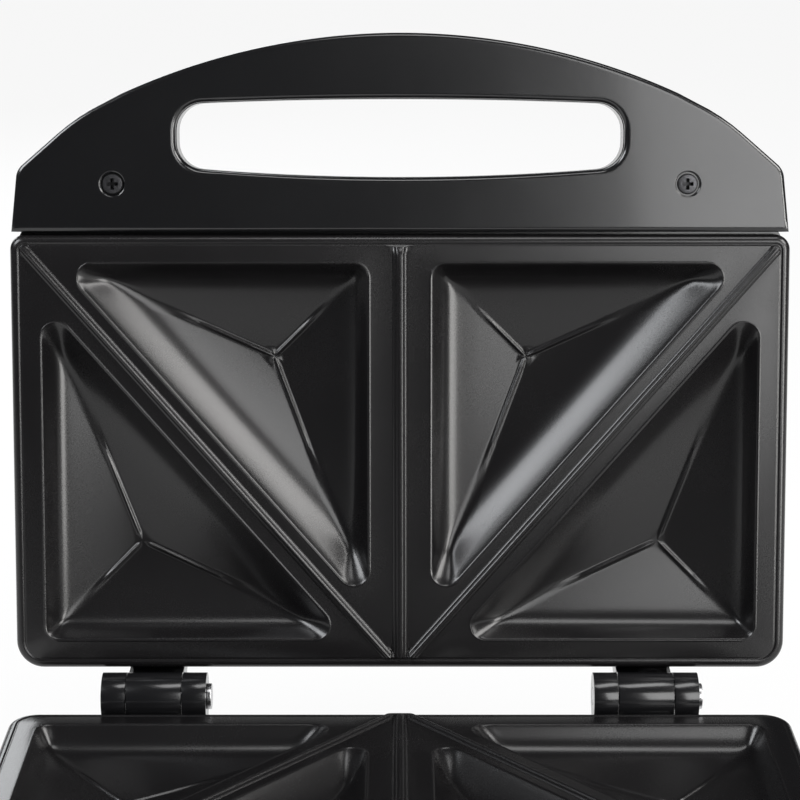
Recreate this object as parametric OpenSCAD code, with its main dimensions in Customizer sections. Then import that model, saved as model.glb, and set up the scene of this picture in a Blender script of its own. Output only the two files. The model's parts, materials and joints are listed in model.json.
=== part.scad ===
// Two-slice sandwich toaster with a hinged lid and a loop handle.
// Millimetres, +Z up, -Y is the handle side.
// The origin is on the ground under the middle of the open toaster.
// Each half is drawn in a half frame: hinge axis on X, plate towards -Y,
// Z rising from the parting plane into the half.

/* [Body] */
// Width of the cooking plates and the shells
body_w = 226; // [210:1:250]
// Depth of a cooking plate from the handle side to the hinge side
plate_d = 127.5; // [120:0.5:140]
// Height of one shell above the parting plane
half_h = 41; // [37:1:50]
// Wall of the plastic shells
wall = 2.4; // [2:0.1:3]
// Radius of the rear corners seen from above
corner_r = 8; // [6:0.5:12]
// Distance from the hinge axis to the rear wall
hinge_setback = 8; // [7.8:0.1:10]
// Angle to which the lid opens
lid_open = 100; // [92:1:104]

/* [Handle] */
// Reach of the handle in front of the plate
handle_reach = 58; // [54:1:66]
// Radius of the handle's front curve
handle_r = 195; // [185:1:210]
// Height of one half of the handle
handle_h = 18; // [16:0.5:22]
// Thickness of the handle cover
cover_t = 2.8; // [2.2:0.1:3.2]
// Width of the finger gap
gap_w = 129; // [115:1:135]
// Strip between the plate and the finger gap at the middle
gap_strip = 16.5; // [15:0.5:18]
// Depth of the finger gap at the middle
gap_d = 22.5; // [20:0.5:24]
// Corner radius of the finger gap
gap_r = 7.8; // [5:0.1:9]
// Distance of a cover screw from the middle
cover_screw_x = 83; // [78:1:86]
// Distance of a cover screw from the plate
cover_screw_f = 14.6; // [13:0.1:16]

/* [Cooking plate] */
// Thickness of the cast plate
plate_t = 3; // [2.5:0.1:3.5]
// Land of each plate below the parting plane
land_gap = 1.6; // [1.3:0.1:2]
// Top of each sealing rib below the parting plane
rib_gap = 0.4; // [0.3:0.1:0.8]
// Width of a sealing rib
rib_w = 3.2; // [2.4:0.1:4]
// Depth of the skirt around a plate
skirt_h = 7; // [6:0.5:9]
// Thickness of the skirt
skirt_t = 1.6; // [1.2:0.1:2]
// Depth of a pocket under the land at its deepest point
pocket_depth = 12; // [10:0.5:14]
// Corner radius of a pocket at its rim
pocket_r = 4.4; // [3:0.2:6]
// Gap from the centre line to an upper pocket
pocket_mid = 9.2; // [8:0.2:11]
// Gap from the plate's front edge to an upper pocket
pocket_front = 8.3; // [7:0.1:10]
// Gap from the plate's side to a lower pocket
pocket_side = 8.8; // [8:0.1:10]
// Gap from the plate's rear edge to a lower pocket
pocket_rear = 8.6; // [8:0.1:10]

/* [Heating] */
// Radius of the tubular heating element
element_r = 3.25; // [2.8:0.05:3.6]
// Bend radius of the element
element_bend = 18; // [14:1:22]
// Distance of the element's legs from the middle
element_x = 56; // [50:1:62]
// Thickness of the heat shield
shield_t = 0.6; // [0.5:0.1:1]

/* [Hinge and latch] */
// Radius of a hinge pin
pin_r = 2.5; // [2:0.1:3]
// Radial running clearance of pins
pin_clear = 0.06; // [0.03:0.01:0.1]
// Distance of each hinge from the middle
hinge_x = 72; // [60:1:84]
// Width of a lid lug
lug_w = 16; // [12:1:20]
// Width of a base ear
ear_w = 7; // [5:0.5:9]
// Radius of the hinge barrels
barrel_r = 7; // [6:0.1:7.2]
// Width of the latch
latch_w = 24; // [18:1:30]
// Thickness of the latch
latch_t = 2.6; // [2.2:0.1:3]
// Radius of the latch pin
latch_pin_r = 1.5; // [1.2:0.1:1.8]
// Angle by which the latch swings down from its closed place
latch_swing = 97; // [92:1:98]

/* [Feet and fasteners] */
// Height of a rubber foot under the base
foot_h = 6; // [5:0.5:9]
// Radius of a foot
foot_r = 8; // [6:0.5:9]
// Radius of the screw shanks
screw_r = 1.6; // [1.4:0.1:1.8]
// Radius of the screw heads
head_r = 3; // [2.6:0.1:3.4]
// Radius of the cord inlet
inlet_r = 3.6; // [3:0.1:4.2]
// Distance of the cord inlet from the middle
gland_x = 40; // [34:1:44]

/* [Hidden] */

eps = 0.01;
seam = 0.8;                                   // seam between the plate and the handle in front of it
play = 0.3;                                   // gap between neighbours that only lie close
round_fn = 48;
half_w = body_w / 2;
rear_y = -hinge_setback;                      // rear wall of a half
front_y = rear_y - plate_d;                   // plate's front edge
tip_y = front_y - handle_reach;               // handle's foremost point
axis_z = foot_h + half_h;                     // height of the hinge axis above the ground
latch_lean = 1.4;                             // how far the latch face stands off the handle
latch_pin_in = 8;                             // latch pin behind the handle's front
latch_top = handle_h * 1.5 + 1.5;             // inner face of the latch's hook above the pin, when closed
// The open toaster reaches from the released latch to the lid's outer edge; the origin lies midway.
reach_back = -front_y * sin(lid_open - 90) + (half_h - 1) * cos(lid_open - 90);
reach_front = -tip_y - latch_pin_in + (latch_top + latch_t) * sin(latch_swing) - 0.5;
hinge_y = (reach_front - reach_back) / 2;

// ---- outlines -------------------------------------------------------------------------------------------
function unit(v) = v / norm(v);
// Points of the arc that rounds the corner b between a and c
function corner(a, b, c, r, n = 6) =
    let (u = unit(a - b), v = unit(c - b), half = acos(u * v) / 2, m = b + unit(u + v) * r / sin(half),
        s = b + u * r / tan(half) - m, e = b + v * r / tan(half) - m, from = atan2(s[1], s[0]),
        raw = atan2(e[1], e[0]) - from, turn = raw > 180 ? raw - 360 : raw < -180 ? raw + 360 : raw)
    [for (i = [0:n]) m + r * [cos(from + turn * i / n), sin(from + turn * i / n)]];
function rounded(p, r, n = 6) = let (k = len(p))
    [for (i = [0:k - 1]) each corner(p[(i + k - 1) % k], p[i], p[(i + 1) % k], r[i], n)];
function box_path(x0, y0, x1, y1, r0, r1, n = 6) =
    rounded([[x0, y0], [x1, y0], [x1, y1], [x0, y1]], [r0, r0, r1, r1], n);
function mirrored(p) = [for (i = [len(p) - 1:-1:0]) [-p[i][0], p[i][1]]];

// Right side of the handle: a leaning flank, a rounded shoulder and one long front arc
flank_in = 0.35;                              // handle's flanks inside the plate's sides
shoulder_r = 6;
shoulder_lean = 2.2;                          // lean of the flank from the plate to the shoulder
shoulder_run = 18;                            // width of the straight edge beside the shoulder
shoulder_drop = 4.6;                          // shoulder behind the front arc
brow_r = 60;                                  // rounding between the front arc and that edge
arc_y = tip_y + handle_r;                     // centre of the front arc
function arc_point(x, r) = [x, arc_y - sqrt(r * r - x * x)];
function handle_half(i) =
    let (r = handle_r - i, sx = half_w - shoulder_lean - i,
        p = arc_point(sx, r) + [0, shoulder_drop], q = arc_point(sx - shoulder_run, r),
        arc = [for (x = [0:8:80]) arc_point(x, r)])
    concat(arc, corner(arc_point(q[0] - shoulder_run, r), q, p, brow_r - i, 3),
        corner(q, p, [half_w - flank_in - i, front_y], shoulder_r - i, 6));
function handle_path(i, back) = let (h = handle_half(i))
    concat(h, [[half_w - flank_in - i, back], [-(half_w - flank_in - i), back]],
        mirrored([for (k = [1:len(h) - 1]) h[k]]));

gap_back_bow = 2.9;                           // bow of the finger gap's plate side
gap_front_bow = 1.5;                          // bow of its front side
// Finger gap grown by g
function gap_path(g) =
    let (w = gap_w / 2 + g, yb = front_y - gap_strip + g, yf = front_y - gap_strip - gap_d - g,
        b = [for (t = [-0.75:0.25:0.75]) [w * t, yb - gap_back_bow * t * t]],
        f = [for (t = [0.75:-0.25:-0.75]) [w * t, yf + gap_front_bow * t * t]])
    concat(corner([-w, yf], [-w, yb - gap_back_bow], b[0], gap_r + g), b,
        corner(b[6], [w, yb - gap_back_bow], [w, yf], gap_r + g),
        corner([w, yb], [w, yf + gap_front_bow], f[0], gap_r + g), f,
        corner(f[6], [-w, yf + gap_front_bow], [-w, yb], gap_r + g));

module slab(z0, z1, p) { translate([0, 0, z0]) linear_extrude(z1 - z0) polygon(p); }
module pair(x) { for (s = [-1, 1]) translate([s * x, 0, 0]) children(); }
module rod(x0, x1, r) {
    translate([x0, 0, 0]) rotate([0, 90, 0]) cylinder(h = x1 - x0, r = r, $fn = round_fn);
}

// Places a half's frame: the base hangs under the hinge axis, the lid stands open on it
module base_place() { translate([0, hinge_y, axis_z]) mirror([0, 0, 1]) children(); }
module lid_place() { translate([0, hinge_y, axis_z]) rotate([-lid_open, 0, 0]) children(); }

// ---- cooking plate --------------------------------------------------------------------------------------
back_z = land_gap + plate_t;                  // back of a plate's land
diag_in = 3.7;                                // end of a diagonal rib inside the plate's front corner
diag_mid = 1.5;                               // its other end beside the middle line
diag_rear = 1.4;                              // and inside the rear edge
diag_a = [half_w - diag_in, front_y + diag_in];
diag_b = [diag_mid, rear_y - diag_rear];
diag_u = unit(diag_b - diag_a);
diag_n = [-diag_u[1], diag_u[0]];             // across the rib, towards the side of the plate
strip_upper = 4.9;                            // from the rib's middle to the upper pocket
strip_lower = 5.8;                            // from the rib's middle to the lower pocket
// Where the line that lies d across the rib has the given x or y
function line_at_x(x, d) = let (p = diag_a + diag_n * d) [x, p[1] + (x - p[0]) * diag_u[1] / diag_u[0]];
function line_at_y(y, d) = let (p = diag_a + diag_n * d) [p[0] + (y - p[1]) * diag_u[0] / diag_u[1], y];
across = diag_n[0] > 0 ? 1 : -1;
upper_tri = let (x = pocket_mid, y = front_y + pocket_front, d = -strip_upper * across)
    [[x, y], line_at_y(y, d), line_at_x(x, d)];
lower_tri = let (x = half_w - pocket_side, y = rear_y - pocket_rear, d = strip_lower * across)
    [[x, y], line_at_y(y, d), line_at_x(x, d)];
function incentre(t) = let (a = norm(t[1] - t[2]), b = norm(t[2] - t[0]), c = norm(t[0] - t[1]))
    (a * t[0] + b * t[1] + c * t[2]) / (a + b + c);
function inradius(t) = let (a = norm(t[1] - t[2]), b = norm(t[2] - t[0]), c = norm(t[0] - t[1]),
    u = t[1] - t[0], v = t[2] - t[0]) abs(u[0] * v[1] - u[1] * v[0]) / (a + b + c);
// The triangle drawn in by d, with rounded corners
function inset_tri(t, d, r) = let (c = incentre(t), k = (inradius(t) - d) / inradius(t))
    rounded([for (p = t) c + (p - c) * k], [r, r, r], 5);
// A lofted bowl: rings from the rim inwards, [inset, corner radius, z], ending at the incentre
module bowl(t, rings, tip_z) {
    n = len(inset_tri(t, 0, 1));
    m = len(rings);
    c = incentre(t);
    turn = (t[1] - t[0])[0] * (t[2] - t[0])[1] - (t[1] - t[0])[1] * (t[2] - t[0])[0] > 0 ? 1 : 0;
    pts = concat([for (g = rings) each [for (p = inset_tri(t, g[0], g[1])) [p[0], p[1], g[2]]]],
        [[c[0], c[1], tip_z], [c[0], c[1], rings[0][2]]]);
    quads = [for (j = [0:m - 2]) for (i = [0:n - 1]) let (a = j * n + i, b = j * n + (i + 1) % n)
        each [[a, a + n, b], [b, a + n, b + n]]];
    tip = [for (i = [0:n - 1]) [(m - 1) * n + i, m * n, (m - 1) * n + (i + 1) % n]];
    lid = [for (i = [0:n - 1]) [i, (i + 1) % n, m * n + 1]];
    faces = concat(quads, tip, lid);
    polyhedron(pts, turn == 1 ? faces : [for (f = faces) [f[0], f[2], f[1]]]);
}
wall_inset = 3;                               // a pocket's steep wall ends this far inside its rim
foot_inset = 7;                               // and its rounded foot this far
wall_share = 0.34;                            // share of the depth at the wall's end
foot_share = 0.6;                             // and at the foot's end
// A pocket in the land, or with a thickness the cast bowl behind it
module pocket(t, thick) {
    deep = land_gap + pocket_depth;
    solid = thick > 0;
    bowl(t, [[-thick, pocket_r + thick, land_gap + (solid ? 1 : -1)],
        [-thick, pocket_r + thick, land_gap + (solid ? 1.2 : 0.4)],
        [wall_inset - thick, pocket_r, land_gap + pocket_depth * wall_share + thick * 0.7],
        [foot_inset - thick, pocket_r + 1, land_gap + pocket_depth * foot_share + thick]],
        deep + thick);
}
module pockets(thick) {
    for (s = [0, 1]) mirror([s, 0, 0]) {
        pocket(upper_tri, thick);
        pocket(lower_tri, thick);
    }
}
plate_front_r = 4.4;
module plate_outline(i, z0, z1) {
    slab(z0, z1, box_path(-half_w + i, front_y + i, half_w - i, rear_y - i,
        max(plate_front_r - i, 1), max(corner_r - i, 1)));
}
boss_r = 4.2;                                 // bosses on the plate's back that carry the heat shield
boss_in = 13;                                 // side bosses inside the plate's side
boss_rear = 22;                               // middle bosses in front of its rear edge
boss_xy = [[half_w - boss_in, rear_y - plate_d * 0.72], [boss_r + 3, rear_y - boss_rear]];
element_gap = 1.2;                            // between the pockets' backs and the element
shield_gap = 1.8;                             // between the element and the heat shield
shield_z = land_gap + pocket_depth + plate_t + element_gap + 2 * element_r + shield_gap;
tab_w = 12;                                   // the plate's tabs, which the cover screws also hold
tab_t = 1.8;
tab_reach = 6;                                // a tab's end in front of its screw
tab_root = 2;                                 // and its root inside the plate's edge
bar_w = 4;                                    // width of the middle bar
bar_front = 3.4;                              // and its ends inside the plate's edges
bar_rear = 1.8;
tab_z = land_gap + cover_t;                   // front of the plate's tabs, right behind the cover
module diagonal_bar(w, z0, z1) {
    a = atan2(diag_u[1], diag_u[0]);
    translate([diag_a[0], diag_a[1], z0]) rotate([0, 0, a]) translate([0, -w / 2, 0])
        cube([norm(diag_b - diag_a), w, z1 - z0]);
}
saddle_l = 9;                                 // length of a saddle under the element
clamp_screw = 5;                              // lengths of the inner screws
shield_screw = 5;
screw_head_t = 1.6;
saddle_y = [rear_y - plate_d * 0.28, rear_y - plate_d * 0.58];
element_z = land_gap + pocket_depth + plate_t + element_gap + element_r;
strap_t = 1;
clamp_screw_dx = -(element_r + strap_t + head_r + 0.5);
saddle_in = head_r + 0.6 - clamp_screw_dx;
saddle_w = saddle_in + element_r + strap_t + 0.6;
module cooking_plate() {
    difference() {
        union() {
            plate_outline(0, land_gap, back_z);
            difference() {
                plate_outline(0, land_gap, land_gap + skirt_h);
                plate_outline(skirt_t, land_gap - 1, land_gap + skirt_h + 1);
            }
            pockets(plate_t);
            for (s = [0, 1]) mirror([s, 0, 0]) diagonal_bar(rib_w, rib_gap, back_z - eps);
            translate([-bar_w / 2, front_y + bar_front, rib_gap])
                cube([bar_w, plate_d - bar_front - bar_rear, back_z - rib_gap - eps]);
            for (s = [-1, 1]) for (p = boss_xy) translate([s * p[0], p[1], back_z - 1])
                cylinder(h = shield_z - back_z + 1, r = boss_r, $fn = round_fn);
            for (s = [-1, 1]) for (y = saddle_y)
                translate([s * element_x - saddle_in, y - saddle_l / 2, back_z - 1])
                cube([saddle_w, saddle_l, element_z - element_r - back_z + 1]);
            for (s = [-1, 1])
                translate([s * cover_screw_x - tab_w / 2, front_y - cover_screw_f - tab_reach, tab_z])
                cube([tab_w, cover_screw_f + tab_reach + tab_root, tab_t]);
        }
        pockets(0);
        for (s = [-1, 1]) translate([s * cover_screw_x, front_y - cover_screw_f, 0])
            cylinder(h = tab_z + tab_t + 1, r = screw_r + play, $fn = round_fn);
        for (s = [-1, 1]) for (p = boss_xy) translate([s * p[0], p[1], shield_z - shield_screw - 1])
            cylinder(h = shield_screw + 2, r = screw_r, $fn = round_fn);
        for (s = [-1, 1]) for (y = saddle_y)
            translate([s * element_x + clamp_screw_dx, y, element_z - element_r - clamp_screw + 0.8])
            cylinder(h = 4 * clamp_screw, r = screw_r, $fn = round_fn);
    }
}

// ---- heating --------------------------------------------------------------------------------------------
cold_end = 4;
cold_end_r = 1.4;
leg_rear = rear_y - 12;                       // rear ends of the element's legs
leg_front = front_y + 24;                     // its bridge
// A hairpin: two legs, two quarter bends and a bridge, with cold ends turned away from the plate
module heating_element() {
    translate([0, 0, element_z]) {
        for (s = [-1, 1]) translate([s * element_x, leg_rear, 0]) rotate([90, 0, 0])
            cylinder(h = leg_rear - leg_front - element_bend, r = element_r, $fn = 32);
        for (s = [0, 1]) mirror([s, 0, 0]) translate([element_x - element_bend, leg_front + element_bend, 0])
            rotate([0, 0, -90]) rotate_extrude(angle = 90, $fn = 32)
            translate([element_bend, 0]) circle(r = element_r, $fn = 32);
        translate([0, leg_front, 0]) rod(-element_x + element_bend, element_x - element_bend, element_r);
        for (s = [-1, 1]) translate([s * element_x, leg_rear, 0]) rotate([-90, 0, 0])
            cylinder(h = cold_end, r = cold_end_r, $fn = 24);
    }
}
strap_w = 6;
// A bent strap over the element with one screwed foot
module element_clamps() {
    low = element_z - element_r;
    out = element_r + 0.1 + strap_t;
    for (s = [-1, 1]) for (y = saddle_y) translate([s * element_x, y - strap_w / 2, 0]) {
        difference() {
            translate([-out, 0, low]) cube([2 * out, strap_w, 2 * element_r + 0.1 + strap_t]);
            translate([strap_t - out, -1, low - 1])
                cube([2 * (out - strap_t), strap_w + 2, 2 * element_r + 1.1]);
        }
        difference() {
            translate([-saddle_in, 0, low]) cube([saddle_in - out + eps, strap_w, strap_t]);
            translate([clamp_screw_dx, strap_w / 2, 0]) cylinder(h = 40, r = screw_r, $fn = round_fn);
        }
    }
}
module screw(len, head_h) {
    // shank along +Z from the seat, head below it with a cross recess
    difference() {
        union() {
            cylinder(h = len, r = screw_r, $fn = round_fn);
            translate([0, 0, -head_h]) cylinder(h = head_h, r = head_r, $fn = round_fn);
        }
        for (a = [0, 90]) rotate([0, 0, a]) translate([-head_r * 0.6, -0.45, -head_h - 1])
            cube([head_r * 1.2, 0.9, head_h * 0.6 + 1]);
    }
}
module clamp_screws() {
    for (s = [-1, 1]) for (y = saddle_y)
        translate([s * element_x + clamp_screw_dx, y, element_z - element_r + strap_t])
        mirror([0, 0, 1]) screw(clamp_screw, screw_head_t);
}
shield_in = skirt_t + 5.4;                    // shield's edge inside the plate's edge
shield_rim = 6;
window = [32, 26];                            // opening in the shield for the thermostat
window_y = front_y + plate_d * 0.42;
module heat_shield() {
    difference() {
        plate_outline(shield_in, shield_z, shield_z + shield_t);
        for (s = [-1, 1]) for (p = boss_xy) translate([s * p[0], p[1], shield_z - 1])
            cylinder(h = 4, r = screw_r + 0.2, $fn = round_fn);
        translate([-window[0] / 2, window_y, shield_z - 1]) cube([window[0], window[1], 4]);
    }
    difference() {
        plate_outline(shield_in, shield_z - shield_rim, shield_z);
        plate_outline(shield_in + shield_t, shield_z - shield_rim - 1, shield_z + 1);
    }
}
module shield_screws() {
    for (s = [-1, 1]) for (p = boss_xy) translate([s * p[0], p[1], shield_z + shield_t])
        mirror([0, 0, 1]) screw(shield_screw, screw_head_t);
}

// ---- handle cover ---------------------------------------------------------------------------------------
recess_r = head_r + 0.5;                      // counterbore of a cover screw
recess_t = 1.4;
cover_screw = 11;                             // length of a cover screw
cover_in = 0.2;                               // cover's edge inside the handle's
module handle_cover() {
    difference() {
        slab(land_gap, land_gap + cover_t, handle_path(cover_in, front_y - seam));
        slab(0, handle_h, gap_path(cover_in));
        for (s = [-1, 1]) translate([s * cover_screw_x, front_y - cover_screw_f, 0]) {
            cylinder(h = land_gap + recess_t, r = recess_r, $fn = round_fn);
            cylinder(h = handle_h, r = screw_r + 0.2, $fn = round_fn);
        }
        children();
    }
}
module cover_screws() {
    for (s = [-1, 1]) translate([s * cover_screw_x, front_y - cover_screw_f, land_gap + recess_t])
        screw(cover_screw, recess_t - 0.2);
}

// ---- shells ---------------------------------------------------------------------------------------------
shell_z = land_gap + skirt_h + 0.2;           // rim of a shell behind the plate's skirt
hollow_z = tab_z + eps;                       // open face of the handle's hollow, closed by the cover
// A shell's section: share of its height, and how far its nose reaches forward or its sides draw in
nose = [[0, 9], [0.25, 8.5], [0.5, 6], [0.75, 1], [0.9, -4], [1, -9]];
tuck = [[0, 0.2], [0.25, 0.5], [0.5, 0.9], [0.75, 2.4], [0.9, 5.5], [1, 11]];
// A solid lofted through convex rings of equal length, each [z, points]
module loft(rings) {
    n = len(rings[0][1]);
    m = len(rings);
    pts = [for (g = rings) each [for (p = g[1]) [p[0], p[1], g[0]]]];
    sides = [for (j = [0:m - 2]) for (i = [0:n - 1]) let (a = j * n + i, b = j * n + (i + 1) % n)
        each [[a, a + n, b], [b, a + n, b + n]]];
    polyhedron(pts, concat(sides, [[for (i = [0:n - 1]) i]], [[for (i = [n - 1:-1:0]) (m - 1) * n + i]]));
}
nose_r = 17;                                  // front corners of a shell, which run into the handle
module body_block() {
    rise = half_h - shell_z;
    loft([for (k = [0:len(tuck) - 1]) let (t = tuck[k][1]) [shell_z + rise * tuck[k][0],
        box_path(-half_w + t, front_y - nose[k][1], half_w - t, rear_y - t / 3, nose_r, corner_r, 5)]]);
}
handle_draft = [[0, 0.2], [0.6, 0.8], [0.85, 2.2], [1, 5]];
module handle_block() {
    rise = handle_h - hollow_z;
    loft([for (k = handle_draft) [hollow_z + rise * k[0], handle_path(k[1], front_y - seam)]]);
}
cavity_draft = [[0, 0], [0.7, 1.5], [1, 7]];
module body_cavity() {
    low = shell_z - 1;
    rise = half_h - wall - low;
    side = wall + 0.5;
    back = wall + 0.3;
    loft([for (k = cavity_draft) [low + rise * k[0], box_path(-half_w + side + k[1],
        front_y + wall + k[1] * 1.3, half_w - side - k[1], rear_y - back - k[1] / 2,
        corner_r - wall, corner_r - wall, 5)]]);
}
screw_boss_r = 4;                             // bosses of the cover and foot screws
handle_wall = wall + 2.4;                     // wall around the handle's hollow at its foot
gland_z = 23;                                 // height of the cord inlet inside the base
module shell() {
    difference() {
        union() {
            difference() {
                union() {
                    body_block();
                    difference() {
                        handle_block();
                        slab(0, handle_h + 5, gap_path(0));
                    }
                }
                body_cavity();
                // handle hollow
                difference() {
                    slab(hollow_z - 1, handle_h - wall, handle_path(handle_wall, front_y - seam - 2));
                    slab(0, handle_h, gap_path(wall));
                }
            }
            // bosses of the cover screws
            for (s = [-1, 1]) translate([s * cover_screw_x, front_y - cover_screw_f, tab_z + tab_t])
                cylinder(h = handle_h - wall - tab_z - tab_t + eps, r = screw_boss_r, $fn = round_fn);
        }
        // room for the plate's tabs
        for (s = [-1, 1]) translate([s * cover_screw_x - tab_w / 2 - play,
            front_y - cover_screw_f - tab_reach - play, hollow_z - 3])
            cube([tab_w + 2 * play, cover_screw_f + tab_reach + play + 4.2, 3 + tab_t]);
        for (s = [-1, 1]) translate([s * cover_screw_x, front_y - cover_screw_f, 0])
            cylinder(h = handle_h - wall - 0.6, r = screw_r, $fn = round_fn);
    }
}

// ---- hinge ----------------------------------------------------------------------------------------------
arm_z0 = shell_z + 1.5;                       // an arm's root in the rear wall
arm_z1 = arm_z0 + 13;
// A barrel on the hinge axis with an arm that reaches into the rear wall
module barrel_arm(w) {
    rod(-w / 2, w / 2, barrel_r);
    root = rear_y - wall + 0.6;
    translate([-w / 2, 0, 0]) rotate([90, 0, 90]) linear_extrude(w)
        polygon([[root, arm_z0], [rear_y + play, arm_z0], [1 - barrel_r, 1.5],
            [barrel_r * 0.68, barrel_r * 0.68], [root, arm_z1]]);
}
heel_len = 5;                                 // heel's overlap with the base's rear wall
module lid_lug() {
    barrel_arm(lug_w);
    // heel that meets the base's rear wall when the lid is open
    rotate([lid_open, 0, 0]) translate([-lug_w / 2 + 1, rear_y + 0.05, -shell_z - heel_len])
        cube([lug_w - 2, hinge_setback - 1, shell_z + heel_len - 3]);
}
ear_x = lug_w / 2 + play + ear_w / 2;
module hinge_bore(r) { rod(-half_w, half_w, r); }

// ---- latch ----------------------------------------------------------------------------------------------
latch_pin_y = tip_y + latch_pin_in;                      // pin axis in the base half's frame
latch_pin_z = handle_h / 2 + 1;
notch_w = latch_w + 1;
notch_d = latch_pin_in + 5;                   // depth of the notch, whose back stops the open latch
hub_r = 3.6;
hub_h = 4.8;                                  // height of the latch's root at its pin
lip = 5;                                      // reach of its hook over the lid's handle
grip_t = 1.2;                                 // ridge for the finger tip
module latch_frame() {
    // the latch hangs released, turned down about its pin
    translate([0, hinge_y + latch_pin_y, axis_z - latch_pin_z]) rotate([latch_swing, 0, 0]) children();
}
module latch() color("#1b1b1d") {
    face = latch_pin_in + latch_lean;                    // the face stands this far in front of the pin
    top = latch_top;
    latch_frame() difference() {
        union() {
            rod(-latch_w / 2, latch_w / 2, hub_r);
            translate([-latch_w / 2, -face - eps, -hub_h / 2]) cube([latch_w, face + eps, hub_h]);
            translate([-latch_w / 2, -face - latch_t, -hub_h / 2]) cube([latch_w, latch_t, top + hub_h / 2]);
            translate([-latch_w / 2, -face - latch_t, top])
                cube([latch_w, latch_t + lip + latch_lean, latch_t]);
            translate([-latch_w / 2, -face - latch_t - grip_t, top - 9]) cube([latch_w, grip_t + eps, 3]);
        }
        rod(-half_w, half_w, latch_pin_r + pin_clear);
    }
}
module latch_notch() {
    translate([-notch_w / 2, tip_y - 1, land_gap - 1]) cube([notch_w, notch_d + 1, handle_h + 1]);
}

// ---- base -----------------------------------------------------------------------------------------------
foot_in = 22;                                 // feet inside the sides
foot_end = 12;                                // and inside the front and rear edges
foot_xy = [[half_w - foot_in, front_y + foot_end], [half_w - foot_in, rear_y - foot_end]];
foot_boss = 6;
notch_wall = 2.4;
pin_over = 5;                                 // latch pin's hold in the handle at each side
gland_wall = 2;                               // rubber around the cord
flange_in = 1.6;                              // inner flange of the gland
flange_gap = 1.8;                             // from it to the shell's wall
flange_out = 2.5;                             // outer flange
gland_len = flange_in + flange_gap + wall + flange_out;
vent_w = 3;
vent_l = 34;
vent_step = 10;
module base_shell() color("#1a1a1c") base_place() difference() {
    union() {
        shell();
        for (s = [-1, 1]) for (e = [-1, 1]) translate([s * hinge_x + e * ear_x, 0, 0]) barrel_arm(ear_w);
        for (s = [-1, 1]) for (p = foot_xy) translate([s * p[0], p[1], half_h - wall - foot_boss])
            cylinder(h = foot_boss + eps, r = screw_boss_r, $fn = round_fn);
        // walls of the latch notch
        for (s = [-1, 1]) translate([s * (notch_w + notch_wall) / 2 - notch_wall / 2, tip_y + 2, hollow_z])
            cube([notch_wall, notch_d, handle_h - hollow_z - 1.5]);
        translate([-notch_w / 2 - 1, tip_y + notch_d, hollow_z])
            cube([notch_w + 2, 2, handle_h - hollow_z - 1]);
    }
    hinge_bore(pin_r);
    latch_notch();
    translate([0, latch_pin_y, latch_pin_z])
        rod(-notch_w / 2 - pin_over - 1, notch_w / 2 + pin_over + 1, latch_pin_r);
    for (s = [-1, 1]) for (p = foot_xy) translate([s * p[0], p[1], half_h - wall - foot_boss + 1])
        cylinder(h = 2 * foot_boss, r = screw_r, $fn = round_fn);
    translate([gland_x, rear_y + 5, gland_z]) rotate([90, 0, 0])
        cylinder(h = 20, r = inlet_r + gland_wall, $fn = round_fn);
    vents();
}
module vents() {
    for (k = [-3:3]) translate([k * vent_step - vent_w / 2, -plate_d * 0.62, half_h - wall - 1])
        cube([vent_w, vent_l, wall + 3]);
}
module latch_pin() color("#b9bcc0") base_place() translate([0, latch_pin_y, latch_pin_z])
    rod(-notch_w / 2 - pin_over, notch_w / 2 + pin_over, latch_pin_r);
pin_head = 1.4;
module hinge_pins() color("#b9bcc0") base_place() pair(hinge_x) {
    rod(-ear_x - ear_w / 2, ear_x + ear_w / 2, pin_r);
    rod(ear_x + ear_w / 2, ear_x + ear_w / 2 + pin_head, pin_r + 1.3);
}
module base_handle_cover() color("#141416") base_place() handle_cover() latch_notch();
module base_cooking_plate() color("#222224") base_place() cooking_plate();
module base_cover_screws() color("#2a2a2c") base_place() cover_screws();
module base_heating_element() color("#5d5f63") base_place() heating_element();
module base_element_clamps() color("#b4b7bb") base_place() element_clamps();
module base_clamp_screws() color("#9fa2a6") base_place() clamp_screws();
module base_heat_shield() color("#c3c6ca") base_place() heat_shield();
module base_shield_screws() color("#9fa2a6") base_place() shield_screws();
floor_z = half_h - wall;                      // inner face of a shell's floor in the half frame
block_size = [18, 12, 5];
block_in = 36;                                // terminal block inside the rear wall
block_y = rear_y - block_in;
module base_terminal_block() color("#e8e4d8") base_place() difference() {
    translate([gland_x - block_size[0] / 2, block_y, floor_z - block_size[2]]) cube(block_size);
    translate([gland_x, block_y + block_size[1] / 2, 0]) cylinder(h = half_h, r = screw_r, $fn = round_fn);
}
module base_terminal_screw() color("#9fa2a6") base_place()
    translate([gland_x, block_y + block_size[1] / 2, floor_z - block_size[2]]) screw(block_size[2] - play, 1);
module cord_inlet_gland() color("#101011") base_place()
    translate([gland_x, rear_y - gland_len + flange_out, gland_z]) rotate([-90, 0, 0]) difference() {
        union() {
            cylinder(h = gland_len, r = inlet_r + gland_wall, $fn = round_fn);
            translate([0, 0, gland_len - flange_out])
                cylinder(h = flange_out, r = 2 * inlet_r, $fn = round_fn);
            cylinder(h = flange_in, r = 2 * inlet_r, $fn = round_fn);
        }
        translate([0, 0, -1]) cylinder(h = gland_len + 2, r = inlet_r, $fn = round_fn);
    }
clamp_size = [22, 7, 3];
clamp_in = 20;                                // cord clamp inside the rear wall
clamp_y = rear_y - clamp_in;
clamp_hole = 7.5;                             // its screws beside the cord
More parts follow.
